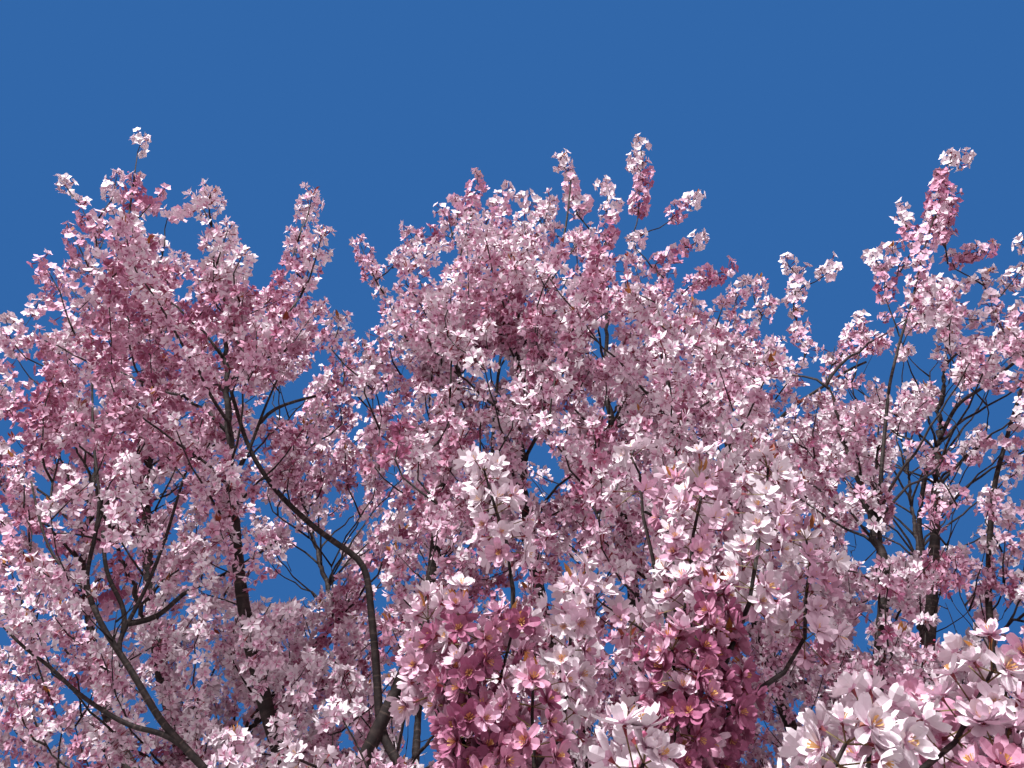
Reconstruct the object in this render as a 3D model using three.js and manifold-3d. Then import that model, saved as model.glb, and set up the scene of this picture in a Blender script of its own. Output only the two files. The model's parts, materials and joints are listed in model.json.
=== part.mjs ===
// A small spring-flowering cherry, about 4.1 m tall and 4.5 m wide: a short forking trunk on
// a root flare, steep boughs that spread like a vase, and a crown of upright blossom masses.
// Millimetres, Z up, ground at Z = 0, the viewer's side at -Y.

import * as THREE from 'three';
import { mergeVertices } from 'three/addons/utils/BufferGeometryUtils.js';
import Module from 'manifold-3d';

const wasm = await Module();
wasm.setup();

// Driving dimensions
const GAP = 0.3;                 // clearance left where one solid meets another
const TRUNK_HEIGHT = 930;        // ground to the top of the fork
const TRUNK_RADIUS = 88;         // just above the root flare
const TRUNK_TOP_RADIUS = 74;
const FLARE_RADIUS = 172;        // across the roots at ground level
const FLARE_HEIGHT = 260;
const ROOT_LOBES = 5;
const TRUNK_LEAN = 55;           // the fork stands this far to the right of the base
const ROOT_START = 0.7;          // turn of the first root, radians
const TRUNK_SIDES = 15;
const TRUNK_RINGS = 9;
const CROTCH_ROUNDING = 0.72;    // how far the trunk's top edge is drawn in
const LIMB_RINGS = 5;
const BOUGH_SIDES = 6;
const BOUGH_TIP = 14;            // radius of a bough's end
const FORK_SIDES = 5;
const FORK_FOOT = 23;
const FORK_TIP = 12;
const FORK_AT = 0.58;            // where along its bough a fork limb leaves
const SOCKET_DEPTH = 45;         // how far a limb's end reaches into its mass
const SWAY = 55;                 // how far a limb wanders to either side of its plane
const TIP_HEIGHT = 0.45;         // plume tips, as a share of the mass's half size
const TIP_EDGE = 0.88;           // cosine of a plume tip's half angle
const TOP_HEAVY = 0.2;           // how much wider a mass is towards its top
const UNEVEN = 0.1;
const MASS_SIDES = 8;
const MASS_RINGS = 7;
const TYPICAL_DEPTH = 250;       // from a mass's centre to its skin

// Main boughs. Start is the height where the bough leaves the trunk, turn its compass angle
// (0 to the right, 90 away from the viewer), reach and rise where its end stands. Crown is
// the length of the mass on its end and lean that mass's tilt, skirt the length of the low
// mass on its outside, side how far its side mass turns off. Fork is the limb that leaves it
// just above its middle.
const BOUGHS = [
  { name: 'left', start: 640, turn: 183, reach: 1430, rise: 2500, foot: 46, crown: 1240,
    lean: 9, skirt: 900, side: 92, fork: { turn: 159, reach: 800, rise: 2400, crown: 1090 } },
  { name: 'left_front', start: 840, turn: 210, reach: 1130, rise: 2350, foot: 38, crown: 1000,
    lean: 12, fork: { turn: 330, reach: 290, rise: 2300, crown: 880 } },
  { name: 'front', start: 830, turn: 250, reach: 620, rise: 2240, foot: 36, crown: 1000,
    lean: 4, skirt: 800, fork: { turn: 305, reach: 420, rise: 2000, crown: 880 } },
  { name: 'right_front', start: 850, turn: 331, reach: 850, rise: 2180, foot: 38, crown: 930,
    lean: 8, skirt: 820, fork: { turn: 100, reach: 200, rise: 2500, crown: 820 } },
  { name: 'right', start: 650, turn: 358, reach: 1180, rise: 2580, foot: 46, crown: 1240,
    lean: 18, skirt: 900, side: 80, fork: { turn: 328, reach: 790, rise: 2480, crown: 930 } },
  { name: 'right_back', start: 820, turn: 25, reach: 1560, rise: 2420, foot: 40, crown: 1220,
    lean: 12, skirt: 850, side: -88, fork: { turn: 70, reach: 520, rise: 2400, crown: 1070 } },
  { name: 'back', start: 660, turn: 84, reach: 1250, rise: 2480, foot: 44, crown: 1240,
    lean: 12, skirt: 900, side: 90, fork: { turn: 20, reach: 560, rise: 2400, crown: 1090 } },
  { name: 'left_back', start: 800, turn: 136, reach: 1380, rise: 2350, foot: 40, crown: 1180,
    lean: 12, skirt: 900, side: 95, fork: { turn: 82, reach: 520, rise: 2350, crown: 1040 } },
  { name: 'middle', start: 900, turn: 290, reach: 210, rise: 2640, foot: 42, crown: 1120,
    lean: 3 },
  { name: 'near', start: 600, turn: 267, reach: 1300, rise: 1370, foot: 32, crown: 660,
    lean: 30, slim: true },
];

// The masses seated on the flanks of the boughs: where along the bough they sit, their tilt,
// and for two kinds one size for all
const LOW = { along: 0.45, tilt: 66, swing: 14, slimness: 0.66 };
const SIDE = { along: 0.8, tilt: 62, length: 720, width: 500 };
const INNER = { along: 0.62, tilt: 36, swing: 25, length: 760, width: 500, minSkirt: 860 };
const NEAR = [
  { name: 'near_left', along: 0.8, turn: 236, tilt: 30, length: 620 },
  { name: 'near_right', along: 0.93, turn: 288, tilt: 54, length: 720 },
];

const bark = { color: 0x51423f, roughness: 0.88 };
const blossomTints = [0xe9b3c6, 0xe3a3ba, 0xf0c6d5, 0xd98fab];

// A repeatable fraction between 0 and 1 for any pair of numbers
function chance(a, b) {
  const s = Math.sin(a * 12.9898 + b * 78.233) * 43758.5453;
  return s - Math.floor(s);
}

function heading(turn, tilt) {
  const a = THREE.MathUtils.degToRad(turn);
  const e = THREE.MathUtils.degToRad(tilt);
  return new THREE.Vector3(Math.cos(a) * Math.sin(e), Math.sin(a) * Math.sin(e), Math.cos(e));
}

// Centre line of a limb: it leaves at a wide angle and turns upward, with a slow sway
function limbPoint(limb, t) {
  const out = limb.reach * (1.5 * t - 0.5 * t * t);
  const up = limb.height * (0.6 * t + 0.4 * t * t);
  const side = SWAY * limb.bend * Math.sin(Math.PI * 2 * t) * (0.4 + 0.6 * t);
  const a = THREE.MathUtils.degToRad(limb.turn);
  return new THREE.Vector3(
    limb.from.x + Math.cos(a) * out - Math.sin(a) * side,
    limb.from.y + Math.sin(a) * out + Math.cos(a) * side,
    limb.from.z + up,
  );
}

function toManifold(geometry) {
  const clean = geometry.clone();
  clean.deleteAttribute('normal');
  clean.deleteAttribute('uv');
  const merged = mergeVertices(clean, 1e-3);
  return new wasm.Manifold(new wasm.Mesh({
    numProp: 3,
    vertProperties: new Float32Array(merged.attributes.position.array),
    triVerts: new Uint32Array(merged.index.array),
  }));
}

function toGeometry(solid) {
  const mesh = solid.getMesh();
  const geometry = new THREE.BufferGeometry();
  geometry.setAttribute('position', new THREE.BufferAttribute(mesh.vertProperties, 3));
  geometry.setIndex(new THREE.BufferAttribute(mesh.triVerts, 1));
  geometry.computeVertexNormals();
  return geometry;
}

// Bends a closed shape that stands along Y from 0 to 1 round a centre line. Extra pushes its
// skin and its two ends out by that much.
function bendAlong(shape, line, radiusAt, turn, extra) {
  const position = shape.attributes.position;
  const across = heading(turn + 90, 90);
  const step = 0.01;
  for (let i = 0; i < position.count; i += 1) {
    const t = position.getY(i);
    const centre = line(t);
    const ahead = line(t + step).sub(line(t - step)).normalize();
    const one = across.clone().addScaledVector(ahead, -across.dot(ahead)).normalize();
    const two = new THREE.Vector3().crossVectors(ahead, one);
    const x = position.getX(i);
    const z = position.getZ(i);
    const radius = radiusAt(t, Math.atan2(z, x)) + extra;
    if (t < step || t > 1 - step) {
      centre.addScaledVector(ahead, t < 0.5 ? -extra : extra);
    }
    centre.addScaledVector(one, -x * radius).addScaledVector(two, z * radius);
    position.setXYZ(i, centre.x, centre.y, centre.z);
  }
  return toManifold(shape);
}

// A limb is a cylinder bent along its centre line, thick at the foot and thin at the end
function limbSolid(limb, extra) {
  const shape = new THREE.CylinderGeometry(1, 1, 1, limb.sides, LIMB_RINGS);
  shape.translate(0, 0.5, 0);
  const taper = (t) => limb.foot + (limb.tip - limb.foot) * Math.pow(t, 0.8);
  return bendAlong(shape, (t) => limbPoint(limb, t), taper, limb.turn, extra);
}

// A mass is a sphere drawn out along its axis, uneven all round, with plume tips that stand
// out of its upper half. Its narrow lower end holds the end of its limb.
function massSolid(mass, extra) {
  const shape = new THREE.SphereGeometry(1, MASS_SIDES, MASS_RINGS);
  const axis = heading(mass.turn, mass.tilt);
  const across = heading(mass.turn + 90, 90);
  const over = new THREE.Vector3().crossVectors(across, axis);
  const half = mass.length / 2;
  const centre = mass.base.clone().addScaledVector(axis, half - SOCKET_DEPTH);
  const tips = [];
  for (let k = 0; k < mass.tips; k += 1) {
    const column = Math.round(MASS_SIDES * (k / mass.tips + chance(mass.seed, 9)));
    const row = k === 0 ? 0 : 1 + Math.floor(3 * chance(mass.seed, k + 20));
    tips.push({
      toward: heading(360 * column / MASS_SIDES, 180 * row / MASS_RINGS),
      height: TIP_HEIGHT * (0.6 + 0.7 * chance(mass.seed, k + 40)),
    });
  }
  const position = shape.attributes.position;
  for (let i = 0; i < position.count; i += 1) {
    const d = new THREE.Vector3(-position.getX(i), position.getZ(i), position.getY(i));
    let swell = 1 + UNEVEN * Math.sin(4 * d.x + mass.seed) * Math.cos(3 * d.y + 5 * d.z - mass.seed);
    for (const tip of tips) {
      const near = Math.max(0, (d.dot(tip.toward) - TIP_EDGE) / (1 - TIP_EDGE));
      swell += tip.height * near;
    }
    swell *= 1 + extra / TYPICAL_DEPTH;
    const side = mass.width / 2 * (1 + TOP_HEAVY * d.z) * swell;
    const point = centre.clone()
      .addScaledVector(over, d.x * side)
      .addScaledVector(across, d.y * side)
      .addScaledVector(axis, d.z * half * swell);
    position.setXYZ(i, point.x, point.y, point.z);
  }
  return toManifold(shape);
}

function trunkSolid(extra) {
  const profile = [new THREE.Vector2(0, 0)];
  for (let i = 0; i <= TRUNK_RINGS; i += 1) {
    profile.push(new THREE.Vector2(1, i / TRUNK_RINGS));
  }
  profile.push(new THREE.Vector2(0, 1));
  const shape = new THREE.LatheGeometry(profile, TRUNK_SIDES);
  const position = shape.attributes.position;
  for (let i = 0; i < position.count; i += 1) {
    const t = position.getY(i);
    const z = TRUNK_HEIGHT * Math.pow(t, 1.35);
    const angle = Math.atan2(position.getZ(i), position.getX(i));
    const flare = Math.pow(Math.max(0, 1 - z / FLARE_HEIGHT), 2);
    const lobe = 1 + flare * 0.2 * Math.cos(ROOT_LOBES * angle + ROOT_START);
    const straight = TRUNK_RADIUS + (TRUNK_TOP_RADIUS - TRUNK_RADIUS) * (z / TRUNK_HEIGHT);
    const radius = (straight + (FLARE_RADIUS - TRUNK_RADIUS) * flare) * lobe
      * (t > 0.99 ? CROTCH_ROUNDING : 1) + extra;
    const span = Math.hypot(position.getX(i), position.getZ(i));
    position.setXYZ(
      i,
      TRUNK_LEAN * (z / TRUNK_HEIGHT) + Math.cos(angle) * radius * span,
      -Math.sin(angle) * radius * span,
      t > 0.99 ? z + extra : z,
    );
  }
  return toManifold(shape);
}

const tree = new THREE.Group();
tree.name = 'cherry_tree';
const cutters = [];

// Cuts a new solid clear of every solid placed before it, keeps its main body and adds it
function place(name, make, look) {
  const solid = make(0);
  let clear = solid;
  const box = solid.boundingBox();
  for (const cutter of cutters) {
    const apart = [0, 1, 2].some((k) => cutter.box.min[k] > box.max[k]
      || cutter.box.max[k] < box.min[k]);
    if (!apart) {
      clear = clear.subtract(cutter.solid);
    }
  }
  const bodies = clear.simplify(0.1).decompose();
  bodies.sort((a, b) => b.volume() - a.volume());
  const main = bodies[0];
  const material = new THREE.MeshStandardMaterial({ ...look, metalness: 0 });
  const mesh = new THREE.Mesh(toGeometry(main), material);
  mesh.name = name;
  tree.add(mesh);
  const cutter = make(GAP);
  cutters.push({ solid: cutter, box: cutter.boundingBox() });
}

place('trunk', trunkSolid, bark);

// Main boughs, then the fork limbs, which leave them halfway up
const limbs = BOUGHS.map((row, i) => {
  const limb = {
    ...row,
    sides: BOUGH_SIDES,
    tip: BOUGH_TIP,
    bend: i % 2 ? 1 : -1,
    height: row.rise - row.start,
    from: new THREE.Vector3(TRUNK_LEAN * (row.start / TRUNK_HEIGHT), 0, row.start),
  };
  place(`bough_${row.name}`, (extra) => limbSolid(limb, extra), bark);
  return limb;
});
const forks = limbs.filter((limb) => limb.fork).map((limb, i) => {
  const from = limbPoint(limb, FORK_AT);
  const fork = {
    ...limb.fork,
    name: `${limb.name}_fork`,
    from,
    height: limb.fork.rise - from.z,
    sides: FORK_SIDES,
    foot: FORK_FOOT,
    tip: FORK_TIP,
    bend: i % 2 ? -0.5 : 0.5,
    lean: limb.lean * 0.8,
  };
  place(`bough_${fork.name}`, (extra) => limbSolid(fork, extra), bark);
  return fork;
});

function placeMass(name, mass) {
  const look = { color: blossomTints[mass.seed % blossomTints.length], roughness: 0.8 };
  place(`blossom_${name}`, (extra) => massSolid(mass, extra), look);
}

// Masses on the ends of the limbs
[...limbs, ...forks].forEach((limb, i) => {
  placeMass(`${limb.name}_top`, {
    base: limbPoint(limb, 1),
    turn: limb.turn,
    tilt: limb.lean,
    length: limb.crown,
    width: limb.crown * (limb.slim ? 0.5 : 0.62 + 0.1 * chance(i, 5)),
    tips: 5 + i % 2,
    seed: i + 1,
  });
});

// Masses seated on the flanks of the boughs: low ones outside, small ones inside the crown
// and some to the side, higher up
limbs.forEach((limb, i) => {
  const hand = i % 2 ? 1 : -1;
  if (limb.skirt) {
    placeMass(`${limb.name}_low`, {
      base: limbPoint(limb, LOW.along),
      turn: limb.turn + hand * LOW.swing,
      tilt: LOW.tilt,
      length: limb.skirt,
      width: limb.skirt * LOW.slimness,
      tips: 5,
      seed: i + 31,
    });
  }
  if (limb.side) {
    placeMass(`${limb.name}_side`, {
      base: limbPoint(limb, SIDE.along),
      turn: limb.turn + limb.side,
      tilt: SIDE.tilt,
      length: SIDE.length,
      width: SIDE.width,
      tips: 4,
      seed: i + 61,
    });
  }
  if (limb.skirt > INNER.minSkirt) {
    placeMass(`${limb.name}_inner`, {
      base: limbPoint(limb, INNER.along),
      turn: limb.turn + 180 + hand * INNER.swing,
      tilt: INNER.tilt,
      length: INNER.length,
      width: INNER.width,
      tips: 4,
      seed: i + 51,
    });
  }
});

// Two more masses on the near bough, either side of the one on its end
const nearBough = limbs[limbs.length - 1];
NEAR.forEach((mass, i) => {
  placeMass(mass.name, {
    ...mass,
    base: limbPoint(nearBough, mass.along),
    width: mass.length * 0.42,
    tips: 4,
    seed: i + 71,
  });
});

export default tree;
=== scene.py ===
# A small flowering cherry: bark, twigs, young leaves and blossom, grown over the frame of its
# trunk, its boughs and its blossom masses. Metres, Z up, ground at Z = 0, the viewer at -Y.
import json
import math

import bmesh
import bpy
import numpy as np
from mathutils import Matrix, Vector, noise
from mathutils.bvhtree import BVHTree

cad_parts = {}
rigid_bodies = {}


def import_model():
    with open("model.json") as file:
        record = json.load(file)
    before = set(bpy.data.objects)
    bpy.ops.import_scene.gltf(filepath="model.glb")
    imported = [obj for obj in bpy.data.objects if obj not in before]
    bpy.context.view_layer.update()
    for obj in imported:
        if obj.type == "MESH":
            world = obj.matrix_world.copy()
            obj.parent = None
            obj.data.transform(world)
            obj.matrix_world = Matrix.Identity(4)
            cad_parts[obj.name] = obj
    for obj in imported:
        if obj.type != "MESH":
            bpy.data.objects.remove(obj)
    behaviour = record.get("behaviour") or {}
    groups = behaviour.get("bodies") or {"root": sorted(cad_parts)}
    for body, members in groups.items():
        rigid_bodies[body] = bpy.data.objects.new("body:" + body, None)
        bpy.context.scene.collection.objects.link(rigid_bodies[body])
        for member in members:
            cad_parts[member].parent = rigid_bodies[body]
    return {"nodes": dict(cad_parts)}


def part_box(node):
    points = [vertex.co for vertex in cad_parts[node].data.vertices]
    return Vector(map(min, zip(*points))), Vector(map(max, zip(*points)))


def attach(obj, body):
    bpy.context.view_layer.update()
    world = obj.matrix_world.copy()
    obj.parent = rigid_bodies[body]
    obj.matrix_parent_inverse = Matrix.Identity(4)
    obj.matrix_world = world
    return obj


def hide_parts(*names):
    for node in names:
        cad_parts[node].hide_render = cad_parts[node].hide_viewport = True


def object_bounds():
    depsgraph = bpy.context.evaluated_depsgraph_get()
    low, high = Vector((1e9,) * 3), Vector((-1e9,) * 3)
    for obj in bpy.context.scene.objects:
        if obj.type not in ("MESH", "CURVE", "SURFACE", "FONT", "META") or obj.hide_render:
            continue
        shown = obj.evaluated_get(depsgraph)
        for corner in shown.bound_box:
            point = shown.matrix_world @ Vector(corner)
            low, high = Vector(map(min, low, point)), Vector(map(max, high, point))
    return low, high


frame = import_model()
cad_low, cad_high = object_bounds()
chance = np.random.default_rng(20)

# Camera
# It stands under the front of the crown at eye height, with a phone's wide view, and looks up
# into the blossom by thirty degrees.
PHOTO_WIDTH = 1024
PHOTO_HEIGHT = 768
FOCAL_PIXELS = 770
SENSOR_MM = 36
EYE = np.array([-0.20, -2.45, 1.60])
LOOKING_UP = math.radians(30)
CLIP_START = 0.05
AHEAD = np.array([0, math.cos(LOOKING_UP), math.sin(LOOKING_UP)])
ABOVE = np.array([0, -math.sin(LOOKING_UP), math.cos(LOOKING_UP)])


def seen_at(points):
    """The photograph's pixels at which points show, and how far ahead of the camera they are."""
    away = points - EYE
    depth = away @ AHEAD
    safe = np.maximum(depth, CLIP_START)
    u = PHOTO_WIDTH / 2 + FOCAL_PIXELS * away[..., 0] / safe
    v = PHOTO_HEIGHT / 2 - FOCAL_PIXELS * (away @ ABOVE) / safe
    return u, v, depth


def place_seen(u, v, out):
    """The point that shows at a pixel, out metres ahead of the camera over the ground."""
    right = (u - PHOTO_WIDTH / 2) / FOCAL_PIXELS
    up = (PHOTO_HEIGHT / 2 - v) / FOCAL_PIXELS
    ray = AHEAD + right * np.array([1, 0, 0]) + up * ABOVE
    return EYE + ray * (out / ray[1])


camera_data = bpy.data.cameras.new("camera")
camera_data.sensor_width = SENSOR_MM
camera_data.lens = SENSOR_MM * FOCAL_PIXELS / PHOTO_WIDTH
camera_data.clip_start = CLIP_START
camera = bpy.data.objects.new("camera", camera_data)
camera.location = EYE
camera.rotation_euler = (math.radians(90) + LOOKING_UP, 0, 0)
bpy.context.scene.collection.objects.link(camera)
bpy.context.scene.camera = camera

# Studio
# A high soft key does the sun's work, so that plumes are bright at the top and deep below. A
# weak fill reaches into the shade, and an even rosy glow stands for light through the petals.
CROWN_CENTRE = Vector((0, 0, 2.8))
SOFTBOXES = [
    {"name": "key", "place": (-3.4, -4.6, 10.0), "size": 1.6, "watts": 1900, "tint": (0.955, 1, 0.98)},
    {"name": "fill", "place": (4.5, -8.0, 4.0), "size": 5.0, "watts": 130, "tint": (0.95, 0.97, 1)},
]
BACKDROP = (0.032, 0.136, 0.397, 1)
GLOW = (0.99, 0.64, 0.80, 1)
GLOW_STRENGTH = 0.35
FLOOR_SIZE = 300.0
FLOOR_TINT = (0.38, 0.376, 0.372, 1)

for box in SOFTBOXES:
    light = bpy.data.lights.new(box["name"], "AREA")
    light.shape = "SQUARE"
    light.size = box["size"]
    light.energy = box["watts"]
    light.color = box["tint"]
    lamp = bpy.data.objects.new(box["name"], light)
    lamp.location = box["place"]
    lamp.rotation_euler = (CROWN_CENTRE - lamp.location).to_track_quat("-Z", "Y").to_euler()
    lamp.visible_camera = False
    bpy.context.scene.collection.objects.link(lamp)

world = bpy.data.worlds.new("studio")
bpy.context.scene.world = world
world.use_nodes = True
sky_nodes = world.node_tree.nodes
sky_links = world.node_tree.links
sky_nodes.clear()
behind = sky_nodes.new("ShaderNodeBackground")
behind.inputs["Color"].default_value = BACKDROP
glow = sky_nodes.new("ShaderNodeBackground")
glow.inputs["Color"].default_value = GLOW
glow.inputs["Strength"].default_value = GLOW_STRENGTH
ray_kind = sky_nodes.new("ShaderNodeLightPath")
either = sky_nodes.new("ShaderNodeMixShader")
world_out = sky_nodes.new("ShaderNodeOutputWorld")
sky_links.new(ray_kind.outputs["Is Camera Ray"], either.inputs["Fac"])
sky_links.new(glow.outputs["Background"], either.inputs[1])
sky_links.new(behind.outputs["Background"], either.inputs[2])
sky_links.new(either.outputs["Shader"], world_out.inputs["Surface"])
bpy.context.scene.view_settings.view_transform = "Standard"


def plain_material(name, colour, roughness, sheen=0.0):
    """One even finish: petals, leaves and stalks get their colours spray by spray."""
    material = bpy.data.materials.new(name)
    material.use_nodes = True
    shader = material.node_tree.nodes["Principled BSDF"]
    shader.inputs["Base Color"].default_value = colour
    shader.inputs["Roughness"].default_value = roughness
    shader.inputs["Specular IOR Level"].default_value = 0.3
    shader.inputs["Sheen Weight"].default_value = sheen
    return material


floor_shape = bmesh.new()
bmesh.ops.create_grid(floor_shape, x_segments=1, y_segments=1, size=FLOOR_SIZE / 2)
floor_mesh = bpy.data.meshes.new("floor")
floor_shape.to_mesh(floor_mesh)
floor_shape.free()
floor_mesh.materials.append(plain_material("floor_paint", FLOOR_TINT, roughness=0.9))
floor = bpy.data.objects.new("floor", floor_mesh)
bpy.context.scene.collection.objects.link(floor)

# Trunk
# The short trunk leans a little to the right and spreads into five low roots at its flat cut.
# Its bark is satiny grey brown, cracked lengthwise, with the pale cross bands that cherries have.
_, trunk_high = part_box("trunk")
TRUNK_HEIGHT = trunk_high.z
TRUNK_RADIUS = 0.088
TRUNK_TOP_RADIUS = 0.074
FLARE_RADIUS = 0.172
FLARE_HEIGHT = 0.26
ROOT_LOBES = 5
ROOT_START = 0.7
LOBE_DEPTH = 0.2
SHOULDER_FROM = 0.93
SHOULDER_LENGTH = 0.07
SHOULDER_LOSS = 0.45
TRUNK_LEAN = 0.055
TRUNK_SIDES = 72
TRUNK_RING_STEP = 0.007
CRACK_DEPTH = 0.0042
CRACK_STRETCH = 0.22
CRACK_FROM = 0.80
CRACK_WIDTH = 0.20
CRACK_SHARE = 1.4
KNOT_SCALE = 0.35
KNOT_SHARE = 0.55
BAND_HEIGHT = 0.0036
BAND_FROM = 0.18
BANDS_AROUND = 0.6
BANDS_BY_RADIUS = 9
BANDS_ALONG = 62
# The bark's browns are darker than its own, in part painted shade: the stems are seen from their shaded
# side.
BARK_DARK = (0.009, 0.006, 0.006, 1)
BARK_MIDDLE = (0.024, 0.015, 0.015, 1)
BARK_PALE = (0.058, 0.039, 0.036, 1)
BAND_TINT = (0.092, 0.062, 0.052, 1)


def bark_material(name, grain, bands):
    """Bark: mottled grey browns by place, with pale bands across the stem by length along it."""
    material = bpy.data.materials.new(name)
    material.use_nodes = True
    nodes = material.node_tree.nodes
    links = material.node_tree.links

    def node(kind, **inputs):
        """A new node with values for some of its inputs."""
        made = nodes.new("ShaderNode" + kind)
        for label, value in inputs.items():
            made.inputs[label.replace("_", " ")].default_value = value
        return made

    shader = nodes["Principled BSDF"]
    shader.inputs["Specular IOR Level"].default_value = 0.35
    place = node("TexCoord")
    mottle = node("TexNoise", Scale=grain, Detail=7, Roughness=0.62)
    links.new(place.outputs["Object"], mottle.inputs["Vector"])
    browns = node("ValToRGB")
    browns.color_ramp.elements[0].position = 0.32
    browns.color_ramp.elements[0].color = BARK_DARK
    browns.color_ramp.elements[1].position = 0.72
    browns.color_ramp.elements[1].color = BARK_PALE
    middle = browns.color_ramp.elements.new(0.52)
    middle.color = BARK_MIDDLE
    links.new(mottle.outputs["Fac"], browns.inputs["Fac"])
    along = node("Attribute")
    along.attribute_name = "along"
    waver = node("Math")
    waver.operation = "MULTIPLY_ADD"
    links.new(along.outputs["Fac"], waver.inputs[0])
    waver.inputs[1].default_value = bands
    links.new(mottle.outputs["Fac"], waver.inputs[2])
    stripes = node("TexNoise", Scale=1.0, Detail=2)
    stripes.noise_dimensions = "1D"
    links.new(waver.outputs["Value"], stripes.inputs["W"])
    mask = node("MapRange", From_Min=0.60, From_Max=0.70, To_Max=0.65)
    links.new(stripes.outputs["Fac"], mask.inputs["Value"])
    colour = node("Mix")
    colour.data_type = "RGBA"
    links.new(mask.outputs["Result"], colour.inputs["Factor"])
    links.new(browns.outputs["Color"], colour.inputs[6])
    colour.inputs[7].default_value = BAND_TINT
    links.new(colour.outputs[2], shader.inputs["Base Color"])
    gloss = node("MapRange", To_Min=0.88, To_Max=0.60)
    links.new(mottle.outputs["Fac"], gloss.inputs["Value"])
    links.new(gloss.outputs["Result"], shader.inputs["Roughness"])
    bump = node("Bump", Strength=0.5, Distance=0.002)
    links.new(mottle.outputs["Fac"], bump.inputs["Height"])
    links.new(bump.outputs["Normal"], shader.inputs["Normal"])
    return material


def unit(vectors):
    """Vectors of the same directions, one long."""
    return vectors / np.linalg.norm(vectors, axis=-1, keepdims=True)


def crack(around, along, radius, coarse):
    """How far bark stands in or out at a turn round the stem and a length along it."""
    x, y, z = math.cos(around) * radius, math.sin(around) * radius, along * CRACK_STRETCH
    place = Vector((x, y, z)) * coarse
    seam = 1 - abs(noise.noise(place))
    knots = noise.noise(place * KNOT_SCALE + Vector((7, 0, 3)))
    at = (around * BANDS_AROUND, radius * BANDS_BY_RADIUS, along * BANDS_ALONG)
    across = noise.noise(Vector(at))
    cracked = KNOT_SHARE * knots - CRACK_SHARE * max(0.0, seam - CRACK_FROM) / CRACK_WIDTH
    return CRACK_DEPTH * cracked + BAND_HEIGHT * max(0.0, across - BAND_FROM)


def bark_tube(line, radii, across, sides, coarse, depth, profile=None):
    """A closed stem: one ring, extruded along a centre line, with its bark raised and cracked."""
    shape = bmesh.new()
    along = shape.verts.layers.float.new("along")
    ring = bmesh.ops.create_circle(shape, segments=sides, radius=1.0)["verts"]
    edges = list(shape.edges)
    before = Matrix.Identity(4)
    passed = 0.0
    for n, centre in enumerate(line):
        ahead = Vector(line[min(n + 1, len(line) - 1)]) - Vector(line[max(n - 1, 0)])
        ahead = Vector((0, 0, 1)) if profile else ahead.normalized()
        one = (across - ahead * across.dot(ahead)).normalized()
        two = ahead.cross(one)
        here = Matrix((one, two, ahead)).transposed().to_4x4()
        here = Matrix.Translation(centre) @ here @ Matrix.Scale(radii[n], 4)
        if n:
            passed += (Vector(centre) - Vector(line[n - 1])).length
            made = bmesh.ops.extrude_edge_only(shape, edges=edges)["geom"]
            ring = [part for part in made if isinstance(part, bmesh.types.BMVert)]
            fresh = set(ring)
            edges = [part for part in made if isinstance(part, bmesh.types.BMEdge)]
            edges = [edge for edge in edges if fresh.issuperset(edge.verts)]
        bmesh.ops.transform(shape, matrix=here @ before.inverted(), verts=ring)
        before = here
        for vert in ring:
            vert[along] = passed
    verts = list(shape.verts)
    for n, place in enumerate(line):
        centre = Vector(place)
        for vert in verts[n * sides:(n + 1) * sides]:
            out = vert.co - centre
            spoke = out.normalized()
            around = math.atan2(out.y, out.x)
            size = profile(around, centre.z) if profile else out.length
            relief = depth * crack(around, vert[along], size, coarse)
            vert.co = centre + spoke * (size + relief)
    bmesh.ops.holes_fill(shape, edges=[edge for edge in shape.edges if edge.is_boundary])
    bmesh.ops.recalc_face_normals(shape, faces=shape.faces)
    mesh = bpy.data.meshes.new("stem")
    shape.to_mesh(mesh)
    shape.free()
    mesh.shade_smooth()
    return mesh


def add_piece(name, mesh, materials, stands_for=()):
    """Puts a finished piece on the rooted body, with its finishes and the nodes it replaces."""
    mesh.name = name
    piece = bpy.data.objects.new(name, mesh)
    bpy.context.scene.collection.objects.link(piece)
    for material in materials:
        mesh.materials.append(material)
    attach(piece, "root")
    if stands_for:
        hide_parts(*stands_for)


def trunk_radius(around, z):
    """The trunk's radius at a turn round it and a height: root lobes, taper and shoulder."""
    flare = max(0.0, 1 - z / FLARE_HEIGHT) ** 2
    lobe = 1 + LOBE_DEPTH * flare * math.cos(ROOT_LOBES * around - ROOT_START)
    straight = TRUNK_RADIUS + (TRUNK_TOP_RADIUS - TRUNK_RADIUS) * z / TRUNK_HEIGHT
    shoulder = max(0.0, (z / TRUNK_HEIGHT - SHOULDER_FROM) / SHOULDER_LENGTH)
    spread = straight + (FLARE_RADIUS - TRUNK_RADIUS) * flare
    return spread * lobe * (1 - SHOULDER_LOSS * shoulder ** 2)


trunk_bark = bark_material("trunk_bark", grain=26, bands=60)
limb_bark = bark_material("limb_bark", grain=42, bands=75)
trunk_rings = int(TRUNK_HEIGHT / TRUNK_RING_STEP)
trunk_line = [
    (TRUNK_LEAN * n / trunk_rings, 0, TRUNK_HEIGHT * n / trunk_rings)
    for n in range(trunk_rings + 1)
]
trunk_mesh = bark_tube(
    trunk_line, [1.0] * len(trunk_line), Vector((1, 0, 0)), TRUNK_SIDES,
    coarse=34, depth=1.0, profile=trunk_radius,
)
add_piece("trunk_wood", trunk_mesh, [trunk_bark], ["trunk"])

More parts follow.
